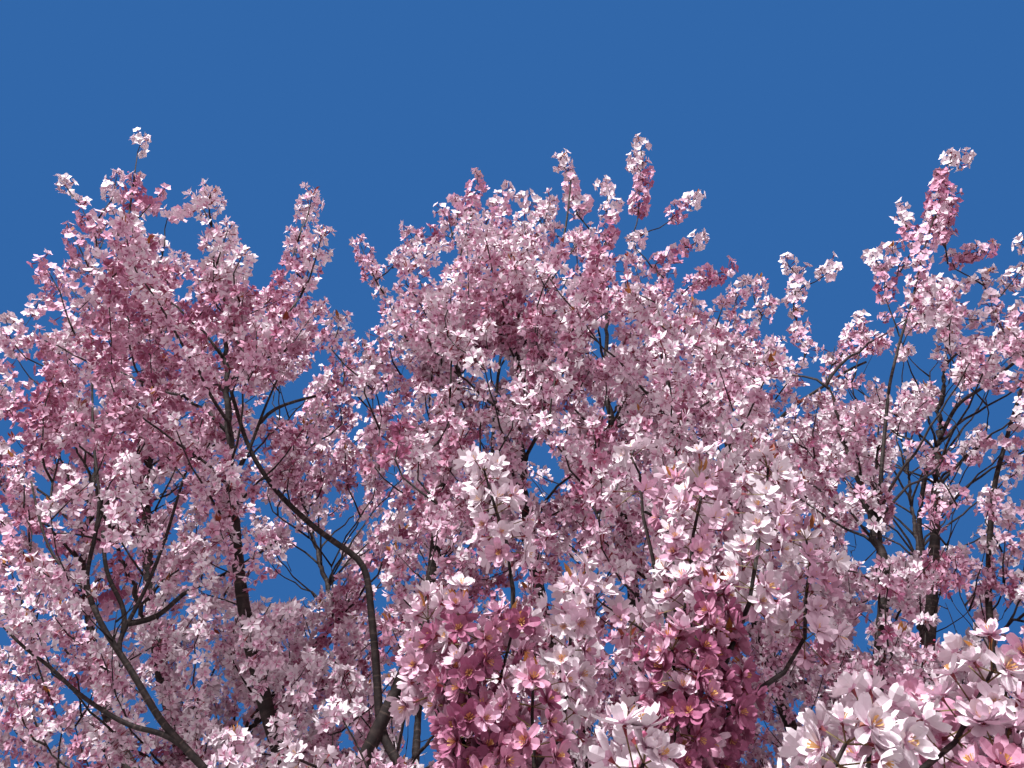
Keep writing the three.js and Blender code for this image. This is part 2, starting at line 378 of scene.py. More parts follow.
# Boughs
# Ten boughs leave the trunk below its top and spread like a vase, and eight fork limbs leave
# them just above their middle. Start is the height of a bough's foot, turn its angle from +X,
# reach and rise say where it ends, foot is its radius at the trunk, and on names its masses.
BOUGHS = [
    {"name": "left", "start": 0.64, "turn": 183, "reach": 1.43, "rise": 2.50, "foot": 0.046,
     "on": ("low", "side", "inner"), "fork": {"turn": 159, "reach": 0.80, "rise": 2.40}},
    {"name": "left_front", "start": 0.84, "turn": 210, "reach": 1.13, "rise": 2.35, "foot": 0.038,
     "on": (), "fork": {"turn": 330, "reach": 0.29, "rise": 2.30}},
    {"name": "front", "start": 0.83, "turn": 250, "reach": 0.62, "rise": 2.24, "foot": 0.036,
     "on": ("low",), "fork": {"turn": 305, "reach": 0.42, "rise": 2.00}},
    {"name": "right_front", "start": 0.85, "turn": 331, "reach": 0.85, "rise": 2.18, "foot": 0.038,
     "on": ("low",), "fork": {"turn": 100, "reach": 0.20, "rise": 2.50}},
    {"name": "right", "start": 0.65, "turn": 358, "reach": 1.18, "rise": 2.58, "foot": 0.046,
     "on": ("low", "side", "inner"), "fork": {"turn": 328, "reach": 0.79, "rise": 2.48}},
    {"name": "right_back", "start": 0.82, "turn": 25, "reach": 1.56, "rise": 2.42, "foot": 0.040,
     "on": ("low", "side"), "fork": {"turn": 70, "reach": 0.52, "rise": 2.40}},
    {"name": "back", "start": 0.66, "turn": 84, "reach": 1.25, "rise": 2.48, "foot": 0.044,
     "on": ("low", "side", "inner"), "fork": {"turn": 20, "reach": 0.56, "rise": 2.40}},
    {"name": "left_back", "start": 0.80, "turn": 136, "reach": 1.38, "rise": 2.35, "foot": 0.040,
     "on": ("low", "side", "inner"), "fork": {"turn": 82, "reach": 0.52, "rise": 2.35}},
    {"name": "middle", "start": 0.90, "turn": 290, "reach": 0.21, "rise": 2.64, "foot": 0.042,
     "on": (), "fork": None},
    {"name": "near", "start": 0.60, "turn": 267, "reach": 1.30, "rise": 1.37, "foot": 0.032,
     "on": (), "fork": None},
]
BOUGH_TIP = 0.014
BOUGH_SIDES = 20
FORK_AT = 0.58
FORK_FOOT = 0.023
FORK_TIP = 0.012
FORK_BEND = 0.5
FORK_SIDES = 14
TAPER = 0.8
SWAY = 0.055
COLLAR = 0.35
COLLAR_LENGTH = 2.6
LIMB_RING_STEP = 0.014


def limb_point(limb, t):
    """A limb's centre line: it leaves at a wide angle and turns upward, with a slow sway."""
    t = np.asarray(t, float)
    out = limb["reach"] * (1.5 * t - 0.5 * t * t)
    up = limb["height"] * (0.6 * t + 0.4 * t * t)
    side = SWAY * limb["bend"] * np.sin(2 * np.pi * t) * (0.4 + 0.6 * t)
    angle = math.radians(limb["turn"])
    x = limb["from"][0] + math.cos(angle) * out - math.sin(angle) * side
    y = limb["from"][1] + math.sin(angle) * out + math.cos(angle) * side
    return np.stack([x, y, limb["from"][2] + up], axis=-1)


def limb_radius(limb, t):
    """A limb's radius without its collar, t of the way along."""
    return limb["foot"] + (limb["tip"] - limb["foot"]) * t ** TAPER


limbs = []
for n, row in enumerate(BOUGHS):
    foot = np.array([TRUNK_LEAN * row["start"] / TRUNK_HEIGHT, 0, row["start"]])
    limbs.append({
        **row, "group": row["name"], "tip": BOUGH_TIP, "bend": 1 if n % 2 else -1,
        "height": row["rise"] - row["start"], "from": foot, "sides": BOUGH_SIDES,
    })
forked = [limb for limb in limbs if limb["fork"]]
for n, limb in enumerate(forked):
    foot = limb_point(limb, FORK_AT)
    limbs.append({
        **limb["fork"], "name": limb["name"] + "_fork", "group": limb["name"], "foot": FORK_FOOT,
        "tip": FORK_TIP, "bend": -FORK_BEND if n % 2 else FORK_BEND, "from": foot,
        "height": limb["fork"]["rise"] - foot[2], "sides": FORK_SIDES, "on": (),
    })
limb_named = {limb["name"]: limb for limb in limbs}
group_names = [row["name"] for row in BOUGHS]

for limb in limbs:
    rough_length = math.hypot(limb["reach"], limb["height"])
    steps = np.linspace(0, 1, int(rough_length / LIMB_RING_STEP) + 1)
    collar = 1 + COLLAR * np.exp(-((steps * rough_length) / (limb["foot"] * COLLAR_LENGTH)) ** 2)
    turn = math.radians(limb["turn"] + 90)
    mesh = bark_tube(
        [Vector(point) for point in limb_point(limb, steps)],
        limb_radius(limb, steps) * collar,
        Vector((math.cos(turn), math.sin(turn), 0)), limb["sides"], coarse=60, depth=0.5,
    )
    node = "bough_" + limb["name"]
    add_piece(node + "_wood", mesh, [limb_bark], [node])

# Shoots
# Inside each mass its limb runs on as a leader, branches leave the leader for the mass's skin,
# and short twigs fill what is left. Every shoot leaves low on its parent and turns upward.
SKYLINE = [
    (-200, 345), (0, 340), (30, 310), (56, 250), (80, 220), (100, 212), (112, 196), (136, 194),
    (150, 214), (164, 244), (178, 262), (200, 262), (216, 238), (236, 240), (248, 270), (264, 300),
    (284, 262), (306, 244), (318, 262), (328, 316), (340, 336), (364, 334), (378, 290), (400, 268),
    (428, 244), (460, 218), (490, 216), (520, 208), (552, 212), (580, 222), (612, 226), (636, 244),
    (650, 272), (672, 278), (690, 278), (716, 300), (748, 304), (770, 326), (780, 352), (800, 336),
    (828, 344), (842, 352), (864, 332), (884, 304), (904, 276), (924, 256), (948, 262), (966, 300),
    (990, 318), (1024, 308), (1224, 300),
]
NEAREST_SHOWN = 0.2
PARENT_PULL = 0.55
PULL = 0.36
STEP = 0.024
CROOKED_FROM = 0.2
BEND_COST = 1.7
LOW_COST = 1.5
SHORTEST_SHOOT = 0.05
NEVER = 9
UP = np.array([0.0, 0.0, 1.0])


def skyline_at(u):
    """The crown's photographed upper outline at a column of pixels."""
    return np.interp(u, [point[0] for point in SKYLINE], [point[1] for point in SKYLINE])


def over_skyline(points, margin):
    """Whether points would show above the crown's outline, or less than a margin under it."""
    u, v, depth = seen_at(points)
    return (depth > NEAREST_SHOWN) & (v < skyline_at(u) + margin)


def lengths_along(line):
    """How far along a line each of its points is."""
    return np.concatenate([[0], np.cumsum(np.linalg.norm(np.diff(line, axis=0), axis=1))])


def arch(foot, toward, tip, lift, crook):
    """A shoot's centre line: it leaves near its parent's heading and turns up to its tip."""
    span = tip - foot
    length = np.linalg.norm(span)
    leave = unit(span / length + PARENT_PULL * toward)
    arrive = unit(span / length + lift * UP)
    pull = PULL * length
    t = np.linspace(0, 1, max(4, int(length / STEP) + 1))[:, None]
    one = foot + leave * pull
    two = tip - arrive * pull
    line = (1 - t) ** 3 * foot + 3 * (1 - t) ** 2 * t * one + 3 * (1 - t) * t ** 2 * two + t ** 3 * tip
    kinks = chance.normal(0, crook * min(1.0, length / CROOKED_FROM), line.shape)
    kinks[[0, -1]] = 0
    return line + kinks


class Wood:
    """Stems that a new shoot may leave from: points along them, their headings and owners."""

    def __init__(self):
        self.points = np.zeros((0, 3))
        self.headings = np.zeros((0, 3))
        self.owners = np.zeros(0, int)

    def add(self, line, owner, heading=None):
        """Takes in a line of points, with the heading given or else the line's own."""
        ahead = unit(np.gradient(line, axis=0)) if heading is None else np.tile(heading, (len(line), 1))
        self.points = np.vstack([self.points, line])
        self.headings = np.vstack([self.headings, ahead])
        self.owners = np.append(self.owners, np.full(len(line), owner))

    def best_foot(self, tip, steepness):
        """The point from which a shoot to tip is short, follows its parent and climbs."""
        span = tip - self.points
        length = np.linalg.norm(span, axis=1)
        bend = (span * self.headings).sum(1) / np.maximum(length, 1e-6)
        flat = np.linalg.norm(span[:, :2], axis=1)
        low = np.maximum(0, steepness * flat - span[:, 2])
        cost = length * (BEND_COST - bend) + LOW_COST * low
        cost[length < SHORTEST_SHOOT] = NEVER
        return int(np.argmin(cost))

    def shoot_to(self, tip, steepness, lift, crook):
        """The centre line of a shoot from its best foot to a tip, and the owner of that foot."""
        at = self.best_foot(tip, steepness)
        return arch(self.points[at], self.headings[at], tip, lift, crook), self.owners[at]

    def plume_to(self, low, tip, steepness, lifts):
        """A shoot that climbs bare to low and flowers from there to its tip: its centre line,
        the owner of its foot and the number of its bare points."""
        stem, parent = self.shoot_to(low, steepness, lifts[0], crook=0.002)
        plume = arch(low, unit(stem[-1] - stem[-2]), tip, lifts[1], crook=0.002)
        return np.vstack([stem, plume[1:]]), parent, len(stem)


shoots = []


def add_shoot(line, group, tint, kind, parent=-1, *, foot, tip, bloom):
    """Notes a shoot: its line, its radii at foot and tip, and from where along it it flowers."""
    shoots.append({
        "line": line, "foot": foot, "tip": tip, "bloom": bloom, "group": group, "tint": tint,
        "kind": kind, "parent": int(parent),
    })
    return len(shoots) - 1


# Where sprays are paler or deeper: an area's ends, top and bottom in pixels, and the shift
TINT_LEVEL = 0.78
TINT_DRIFT = 2.0
DRIFT_SCALE = 1.3
TINT_SPREAD = 0.75
DEEPEST_SPRAY = 3
NEAREST_TINTED = 0.3
# Painted light and shade in part: areas are made paler or deeper for how lit those parts of the crown
# are, besides the blossom's own drifts.
TINT_AREAS = [
    (-60, 130, 380, 620, 0.75), (370, 640, 190, 420, -0.70), (640, 830, 280, 450, -0.75),
    (-60, 400, 640, 900, -0.35), (190, 320, 560, 800, -0.8), (880, 1080, 500, 660, -1.0),
    (-60, 128, 256, 560, 0.6), (830, 1080, 300, 640, -0.30), (130, 330, 300, 480, -0.35),
    (500, 650, 310, 400, -0.8), (250, 330, 440, 780, -0.5), (-60, 70, 256, 400, 0.5),
]


def spray_tint(place):
    """Which of the first four petal tints a spray has: drifts of paler and deeper blossom."""
    drift = noise.noise(Vector(place) * DRIFT_SCALE + Vector((3, 1, 5)))
    level = TINT_LEVEL + TINT_DRIFT * drift + chance.normal(0, TINT_SPREAD)
    u, v, depth = seen_at(np.asarray(place))
    for left, right, top, bottom, shift in TINT_AREAS:
        if depth > NEAREST_TINTED and left < u < right and top < v < bottom:
            level += shift
    return int(np.clip(round(level), 0, DEEPEST_SPRAY))


# How far shoots fill a mass, how far apart their tips are in metres, and how far under the
# skyline they stay in pixels
LEADER_SHARE = 0.93
NEAR_LEADER_SHARE = 0.45
LEAST_SHARE = 0.4
LEADER_MARGIN = 20
LIMB_FROM = 0.22
BRANCH_SHARE = 0.965
BRANCH_GAP = 0.23
BRANCH_MARGIN = 4
SHORTEST_BRANCH = 0.2
BARE_BRANCH = 0.45
BRANCH_FOOT = 0.0028
BRANCH_THICKENING = 0.0065
THICKEST_BRANCH = 0.0065
TWIG_TRIES = 1500
TWIG_GAP = 0.112
INNER_TWIG_GAP = 0.145
TWIG_MARGIN = 14
DEEP = 0.20
PARENT_TINT_SHARE = 0.6


def fill_mass(node, limb, along, foot_radius):
    """Grows the leader, branches and twigs that take the place of one mass."""
    mesh = frame["nodes"][node].data
    corners = np.empty(len(mesh.vertices) * 3)
    mesh.vertices.foreach_get("co", corners)
    corners = corners.reshape(-1, 3)
    skin = BVHTree.FromPolygons(corners.tolist(), [tuple(face.vertices) for face in mesh.polygons])
    base = limb_point(limb, along)
    toward = unit(base - limb_point(limb, along - 0.03))
    group = limb["group"]
    reach = np.linalg.norm(corners - base, axis=1)
    far = corners[np.argmax(reach)]
    share = NEAR_LEADER_SHARE if group == "near" else LEADER_SHARE
    while share > LEAST_SHARE and over_skyline(base + share * (far - base), LEADER_MARGIN):
        share -= 0.04
    main = Wood()
    main.add(limb_point(limb, np.arange(max(0.1, along - LIMB_FROM), along, 0.02)), -1, toward)
    leader = arch(base, toward, base + share * (far - base), lift=0.25, crook=0.004)
    tint = spray_tint(far)
    owner = add_shoot(leader, group, tint, "leader", foot=foot_radius, tip=0.0022, bloom=0.38)
    main.add(leader, owner)
    wood = Wood()
    wood.points, wood.headings, wood.owners = main.points, main.headings, main.owners
    tips = [leader[-1]]
    for corner in corners[np.argsort(-reach)]:
        tip = base + (corner - base) * BRANCH_SHARE
        gap = np.linalg.norm(np.array(tips) - tip, axis=1).min()
        if gap < BRANCH_GAP or over_skyline(tip, BRANCH_MARGIN):
            continue
        if np.linalg.norm(tip - base) < SHORTEST_BRANCH:
            continue
        tips.append(tip)
        line, parent = main.shoot_to(tip, steepness=0.75, lift=0.55, crook=0.004)
        length = len(line) * STEP
        bloom = max(0.12, 1 - BARE_BRANCH / length)
        foot = min(THICKEST_BRANCH, BRANCH_FOOT + BRANCH_THICKENING * length)
        tint = spray_tint(tip)
        owner = add_shoot(line, group, tint, "branch", parent, foot=foot, tip=0.0016, bloom=bloom)
        wood.add(line, owner)
    low, high = corners.min(0), corners.max(0)
    tries = chance.uniform(low, high, (TWIG_TRIES, 3))
    tries = tries[np.argsort(np.linalg.norm(tries - base, axis=1))]
    for tip in tries:
        place, normal, _, depth = skin.find_nearest(Vector(tip))
        if (Vector(tip) - place).dot(normal) > 0 or over_skyline(tip, TWIG_MARGIN):
            continue
        gap = np.linalg.norm(wood.points - tip, axis=1).min()
        if gap < (INNER_TWIG_GAP if depth > DEEP else TWIG_GAP):
            continue
        line, parent = wood.shoot_to(tip, steepness=0.6, lift=0.5, crook=0.003)
        if parent >= 0 and chance.random() < PARENT_TINT_SHARE:
            tint = shoots[parent]["tint"]
        else:
            tint = spray_tint(tip)
        owner = add_shoot(line, group, tint, "twig", parent, foot=0.0024, tip=0.0011, bloom=0.12)
        wood.add(line[1:], owner)


for limb in limbs:
    fill_mass(f"blossom_{limb['name']}_top", limb, along=1.0, foot_radius=limb["tip"])
for limb in limbs:
    for kind, along in (("low", 0.45), ("side", 0.80), ("inner", 0.62)):
        if kind in limb["on"]:
            fill_mass(f"blossom_{limb['name']}_{kind}", limb, along, foot_radius=0.009)
for name, along in (("near_left", 0.80), ("near_right", 0.93)):
    fill_mass("blossom_" + name, limb_named["near"], along, foot_radius=0.006)

# Spur shoots
# Short flowering shoots straight from the outer half of every limb, all round it, so that no
# bough is bare inside the crown. Every second one leans toward the viewer.
SPUR_STEP = 0.034
SPUR_FROM = 0.40
SPUR_LENGTHS = (0.09, 0.21)
TOWARD_VIEWER = 2.5
for limb in limbs:
    limb_length = math.hypot(limb["reach"], limb["height"])
    for n, t in enumerate(np.arange(SPUR_FROM, 1, SPUR_STEP / limb_length)):
        foot = limb_point(limb, t)
        ahead = unit(limb_point(limb, t + 0.01) - foot)
        side = chance.normal(0, 1, 3) + (TOWARD_VIEWER * unit(EYE - foot) if n % 2 else 0)
        side = unit(side - ahead * (side @ ahead))
        tip = foot + unit(side + 0.45 * UP + 0.25 * ahead) * chance.uniform(*SPUR_LENGTHS)
        line = arch(foot, unit(side + 0.3 * ahead), tip, lift=0.4, crook=0.002)
        add_shoot(line, limb["group"], spray_tint(tip), "spur", foot=0.0024, tip=0.0012, bloom=0.3)

# Seen stems
# Dark boughs and twigs that show through the blossom, left of the middle and at the right.
# Each is a route of photograph pixels with its distance ahead of the camera.
SEEN_BLOOM = 0.97
SEEN_TINT = 1
SEEN_BRANCHES = [
    {"route": [(380, 735, 1.99), (376, 660, 1.98), (370, 600, 1.97), (366, 562, 1.96), (340, 546, 1.95),
               (312, 526, 1.95), (278, 494, 1.94), (258, 466, 1.93), (246, 442, 1.93), (231, 391, 1.92)],
     "foot": 0.012, "tip": 0.005},
    {"route": [(250, 450, 1.93), (262, 414, 1.93), (277, 380, 1.92)], "foot": 0.006, "tip": 0.003},
    {"route": [(263, 412, 1.93), (290, 402, 1.94), (316, 396, 1.95)], "foot": 0.006, "tip": 0.004},
    {"route": [(1010, 720, 2.30), (994, 660, 2.32), (988, 600, 2.34), (990, 530, 2.35), (995, 480, 2.36),
               (1009, 430, 2.37), (1021, 390, 2.38)], "foot": 0.013, "tip": 0.006},
    {"route": [(930, 600, 2.45), (918, 522, 2.45), (926, 470, 2.44), (946, 425, 2.43), (958, 402, 2.42),
               (977, 392, 2.42), (1023, 356, 2.42)], "foot": 0.010, "tip": 0.005},
    {"route": [(882, 600, 2.05), (879, 519, 2.06), (882, 461, 2.07), (889, 386, 2.08), (899, 344, 2.09),
               (912, 302, 2.10), (923, 252, 2.10), (940, 200, 2.10)], "foot": 0.0085, "tip": 0.0022,
     "bloom": 0.70},
    {"route": [(760, 440, 2.2), (790, 408, 2.2), (824, 386, 2.2), (849, 369, 2.2), (866, 362, 2.2)],
     "foot": 0.007, "tip": 0.004},
    {"route": [(540, 330, 2.15), (552, 273, 2.15), (562, 246, 2.15), (567, 220, 2.15), (571, 180, 2.15)],
     "foot": 0.006, "tip": 0.003},
    {"route": [(491, 530, 1.90), (493, 430, 1.90), (499, 365, 1.92), (506, 325, 1.94)], "foot": 0.006,
     "tip": 0.0035},
    {"route": [(501, 358, 1.92), (533, 336, 1.93), (562, 324, 1.94)], "foot": 0.0032, "tip": 0.0022},
    {"route": [(128, 300, 2.1), (124, 262, 2.1), (128, 222, 2.1), (134, 180, 2.1)], "foot": 0.006,
     "tip": 0.003},
    {"route": [(206, 772, 1.96), (178, 739, 1.96), (163, 726, 1.95), (134, 675, 1.94), (116, 647, 1.94),
               (106, 635, 1.93), (93, 606, 1.93)], "foot": 0.010, "tip": 0.0065},
    {"route": [(163, 730, 1.95), (138, 731, 1.95), (104, 712, 1.94), (69, 687, 1.93), (50, 665, 1.92),
               (25, 650, 1.92), (-4, 618, 1.92)], "foot": 0.007, "tip": 0.003},
    {"route": [(112, 650, 1.95), (126, 627, 1.95), (148, 585, 1.95), (166, 538, 1.95), (183, 479, 1.96),
               (198, 442, 1.96)], "foot": 0.0065, "tip": 0.003, "bloom": 0.8},
    {"route": [(129, 613, 1.96), (116, 593, 1.96), (105, 575, 1.96), (103, 531, 1.96)], "foot": 0.0065,
     "tip": 0.005},
    {"route": [(84, 580, 1.95), (94, 543, 1.95), (100, 509, 1.95), (98, 479, 1.95), (93, 442, 1.95),
               (92, 380, 1.96)], "foot": 0.0065, "tip": 0.003, "bloom": 0.85},
    {"route": [(100, 514, 1.95), (116, 489, 1.95), (131, 467, 1.95), (140, 446, 1.95)], "foot": 0.0038,
     "tip": 0.0028},
    {"route": [(72, 580, 1.95), (52, 556, 1.95), (41, 528, 1.95), (31, 481, 1.95)], "foot": 0.0042,
     "tip": 0.0028},
    {"route": [(158, 620, 2.0), (171, 608, 2.0), (181, 590, 2.0), (210, 583, 2.02), (230, 571, 2.04),
               (257, 556, 2.06), (280, 538, 2.08)], "foot": 0.008, "tip": 0.003},
]

crown = Wood()
for n, shoot in enumerate(shoots):
    crown.add(shoot["line"], n)
for limb in limbs:
    crown.add(limb_point(limb, np.linspace(0.5, 1, 40)), -1)


def smooth_route(points):
    """A soft curve through a few points, in steps as long as a shoot's."""
    points = np.asarray(points)
    at = lengths_along(points)
    fine = np.linspace(0, at[-1], max(4, int(at[-1] / STEP)))
    line = np.stack([np.interp(fine, at, points[:, k]) for k in range(3)], axis=1)
    for _ in range(4):
        line[1:-1] = (line[:-2] + 2 * line[1:-1] + line[2:]) / 4
    return line


for branch in SEEN_BRANCHES:
    route = [place_seen(*point) for point in branch["route"]]
    at = crown.best_foot(route[0], steepness=0.3)
    line = smooth_route([crown.points[at], *route])
    parent = crown.owners[at]
    group = shoots[parent]["group"] if parent >= 0 else "left_front"
    bloom = branch.get("bloom", SEEN_BLOOM)
    owner = add_shoot(
        line, group, SEEN_TINT, "seen", parent, foot=branch["foot"], tip=branch["tip"], bloom=bloom
    )
    crown.add(line, owner)

# Plumes of the skyline
# Single shoots that stand out of the crown's top, each with its last cluster on a bare tip.
# A row is the tip's pixel, the pixel where its blossom starts, and the distance ahead.
PLUMES = [
    (142, 132, 141, 143, 2.1), (117, 170, 112, 200, 2.1), (160, 188, 146, 210, 2.08),
    (98, 214, 104, 244, 2.1), (70, 226, 84, 256, 2.08), (61, 178, 66, 186, 2.1),
    (82, 200, 96, 236, 2.08), (186, 204, 168, 216, 2.02), (180, 254, 158, 270, 2.05),
    (304, 214, 294, 252, 2.0), (290, 262, 272, 300, 1.98), (42, 256, 60, 292, 2.05),
    (30, 330, 58, 346, 2.02), (6, 314, 20, 352, 2.05), (360, 238, 376, 280, 2.15),
    (384, 288, 394, 318, 2.15), (409, 226, 420, 254, 2.15), (404, 246, 392, 268, 2.15),
    (424, 230, 448, 236, 2.15), (456, 194, 458, 224, 2.15), (442, 204, 452, 228, 2.15),
    (478, 171, 471, 210, 2.18), (506, 184, 490, 214, 2.18), (522, 191, 534, 204, 2.2),
    (548, 204, 540, 222, 2.15), (562, 151, 560, 162, 2.2), (570, 168, 576, 212, 2.22),
    (587, 196, 576, 214, 2.22), (605, 180, 608, 188, 2.25), (616, 200, 606, 212, 2.25),
    (640, 137, 640, 144, 2.3), (632, 154, 634, 164, 2.3), (640, 230, 632, 244, 2.25),
    (697, 191, 695, 199, 2.28), (680, 202, 668, 222, 2.28), (702, 231, 696, 242, 2.25),
    (684, 242, 652, 268, 2.25), (728, 262, 690, 286, 2.22), (744, 276, 736, 300, 2.22),
    (758, 276, 752, 300, 2.22), (770, 297, 762, 316, 2.22), (787, 256, 790, 268, 2.28),
    (800, 266, 792, 310, 2.28), (796, 310, 802, 342, 2.28), (831, 258, 829, 270, 2.28),
    (873, 249, 878, 264, 2.2), (892, 244, 900, 272, 2.2), (902, 204, 904, 214, 2.2),
    (906, 222, 914, 244, 2.2), (952, 150, 950, 160, 2.2), (965, 151, 962, 160, 2.2),
    (860, 312, 842, 356, 2.2), (1022, 238, 1030, 250, 2.28), (1022, 262, 1006, 290, 2.28),
    (986, 268, 980, 280, 2.28), (990, 290, 994, 316, 2.28), (962, 280, 926, 290, 2.25),
    (992, 312, 946, 322, 2.28), (928, 306, 924, 314, 2.2), (950, 330, 944, 346, 2.25),
    (1024, 330, 956, 352, 2.3), (908, 350, 914, 364, 2.15), (857, 362, 850, 390, 2.12),
    (1024, 300, 1004, 330, 2.28), (938, 356, 930, 372, 2.15), (470, 398, 480, 440, 2.05),
    (500, 385, 506, 424, 2.05), (455, 372, 462, 404, 2.05), (14, 470, 30, 510, 2.3),
    (6, 520, 26, 556, 2.35), (30, 545, 44, 585, 2.35), (10, 600, 34, 640, 2.4), (28, 660, 48, 700, 2.4),
    (12, 720, 36, 760, 2.4), (40, 730, 60, 770, 2.4), (985, 545, 975, 588, 2.3),
    (1008, 556, 1000, 598, 2.3), (960, 548, 952, 580, 2.3), (896, 545, 905, 586, 2.2),
    (916, 548, 920, 588, 2.2), (350, 350, 352, 390, 2.1), (340, 345, 345, 382, 2.0),
    (362, 345, 366, 385, 2.1), (336, 380, 342, 424, 2.0), (372, 380, 374, 420, 2.1),
    (300, 285, 292, 322, 1.98), (470, 212, 468, 250, 2.15), (486, 218, 484, 256, 2.15),
    (503, 206, 500, 244, 2.15), (20, 500, 34, 540, 2.2), (8, 560, 24, 600, 2.25),
    (50, 600, 60, 640, 2.2), (22, 625, 40, 668, 2.3), (8, 655, 28, 695, 2.3), (50, 690, 62, 730, 2.3),
    (30, 700, 46, 745, 2.2), (70, 650, 80, 690, 2.2), (75, 720, 88, 765, 2.25),
    (100, 735, 112, 775, 2.2), (14, 690, 30, 735, 2.2), (14, 455, 26, 495, 2.2),
    (612, 214, 604, 250, 2.2), (590, 224, 588, 256, 2.2), (800, 400, 792, 440, 2.1),
    (818, 398, 812, 440, 2.1), (280, 455, 284, 492, 2.3), (668, 268, 660, 300, 2.25),
    (908, 528, 902, 600, 1.98), (890, 560, 886, 640, 1.9), (934, 540, 932, 600, 1.98),
    (938, 482, 932, 528, 2.08), (926, 618, 920, 676, 1.88), (884, 264, 886, 300, 2.18),
    (862, 326, 856, 372, 2.15), (836, 334, 830, 372, 2.2), (730, 316, 724, 356, 2.2),
    (752, 330, 748, 368, 2.2), (955, 552, 960, 596, 2.12), (996, 548, 976, 590, 2.12),
    (925, 432, 930, 462, 2.2), (946, 446, 938, 474, 2.2), (966, 442, 958, 470, 2.25),
    (914, 486, 905, 512, 2.1), (957, 500, 950, 522, 2.2), (992, 492, 985, 522, 2.25),
    (990, 356, 960, 376, 2.25), (1016, 372, 985, 392, 2.28), (870, 470, 880, 512, 2.0),
    (860, 404, 850, 440, 2.08), (832, 376, 822, 412, 2.1), (318, 452, 322, 492, 2.25),
    (345, 446, 348, 488, 2.3), (290, 446, 292, 480, 2.35), (372, 448, 376, 490, 2.3),
    (306, 470, 300, 500, 2.2),
]

# Plumes that stand out by their tint, painted white above and deep pink below as painted light and
# shade. The tint comes last.
TINTED_PLUMES = [
    (211, 188, 209, 206, 1.6, -1), (200, 196, 203, 208, 1.62, -1), (228, 224, 222, 248, 1.6, -1),
    (214, 226, 213, 252, 1.62, 0), (242, 250, 232, 284, 1.62, -1), (312, 190, 310, 206, 1.75, -1),
    (322, 232, 316, 258, 1.62, -1), (298, 236, 294, 270, 1.7, 1), (310, 254, 304, 290, 1.7, 1),
    (240, 296, 232, 330, 1.65, 1), (216, 262, 212, 300, 1.65, 0), (134, 176, 130, 208, 2.1, 3),
    (643, 158, 638, 216, 2.3, 2), (940, 168, 936, 232, 2.2, 3), (950, 184, 944, 240, 2.22, 2),
    (994, 241, 948, 264, 2.28, 2), (340, 318, 332, 350, 1.75, 0), (512, 272, 504, 336, 1.75, 3),
    (494, 284, 492, 330, 1.78, 3), (468, 292, 470, 344, 1.86, 2), (470, 214, 462, 250, 1.95, 0),
    (520, 232, 512, 262, 1.95, 0), (550, 196, 544, 222, 2.0, 0), (606, 376, 600, 444, 1.6, 3),
    (596, 436, 588, 500, 1.62, 3), (400, 424, 396, 470, 1.6, 4), (372, 356, 364, 392, 1.75, 0),
    (396, 324, 388, 354, 1.85, 0), (436, 340, 430, 390, 1.75, 1), (580, 298, 552, 328, 1.8, 0),
    (624, 334, 620, 372, 1.85, 3), (676, 478, 670, 530, 1.25, 3), (684, 380, 680, 424, 1.6, 2),
    (52, 372, 42, 460, 1.75, 3), (64, 396, 58, 462, 1.8, 3), (78, 404, 74, 446, 1.75, 0),
    (152, 392, 146, 446, 1.85, 3), (206, 396, 198, 440, 1.85, 2), (250, 330, 240, 372, 1.8, 3),
    (118, 508, 120, 540, 1.75, 0), (860, 410, 856, 450, 1.9, 1), (905, 398, 896, 440, 2.0, 0),
    (150, 560, 140, 600, 1.9, 3), (548, 334, 540, 380, 1.7, 0), (528, 350, 524, 392, 1.72, 1),
    (292, 456, 286, 500, 1.9, 1), (232, 738, 226, 784, 1.6, 0), (470, 330, 466, 372, 2.0, 1),
    (406, 296, 402, 330, 1.75, 0), (432, 306, 428, 344, 1.68, 1), (456, 318, 452, 356, 1.66, 0),
    (540, 306, 534, 340, 1.66, 1), (572, 326, 566, 366, 1.66, 0), (592, 344, 586, 380, 1.72, 1),
    (556, 368, 550, 408, 1.62, 0), (516, 388, 512, 428, 1.64, 1), (484, 392, 480, 430, 1.68, 0),
    (450, 392, 446, 434, 1.66, 1), (420, 440, 418, 480, 1.64, 0), (568, 420, 562, 460, 1.62, 1),
    (640, 410, 636, 452, 1.6, 1), (620, 460, 614, 500, 1.58, 0), (440, 500, 436, 544, 1.6, 1),
    (96, 590, 100, 630, 2.2, 1), (70, 610, 76, 650, 2.2, 1), (88, 660, 94, 700, 2.25, 2),
    (116, 600, 120, 640, 2.2, 2), (108, 690, 114, 730, 2.2, 1), (270, 470, 268, 505, 2.2, 1),
    (310, 500, 306, 530, 2.2, 1), (216, 412, 212, 446, 2.0, 1), (240, 396, 236, 430, 2.0, 2),
    (1010, 520, 1002, 552, 2.25, 1),
]
TIP_DROP = 6
BARE_TIP_LENGTH = 20
LIT_TIP_TINT = -1
for row in sorted(PLUMES + TINTED_PLUMES, key=lambda row: -row[3]):
    tip_u, tip_v, foot_u, foot_v, out, *tint = row
    tip = place_seen(tip_u, tip_v + TIP_DROP, out)
    low = place_seen(foot_u, foot_v, out)
    line, parent, bare = crown.plume_to(low, tip, steepness=0.9, lifts=(0.6, 0.2))
    group = shoots[max(parent, 0)]["group"]
    bloom = (bare - 1) / (len(line) - 1)
    tint = tint[0] if tint else int(chance.integers(0, 3))
    # Painted light: last clusters on their bare tips stand in full light and are painted the palest
    if math.hypot(tip_u - foot_u, tip_v - foot_v) < BARE_TIP_LENGTH:
        tint = LIT_TIP_TINT
    owner = add_shoot(line, group, tint, "plume", parent, foot=0.0036, tip=0.0014, bloom=bloom)
    crown.add(line, owner)
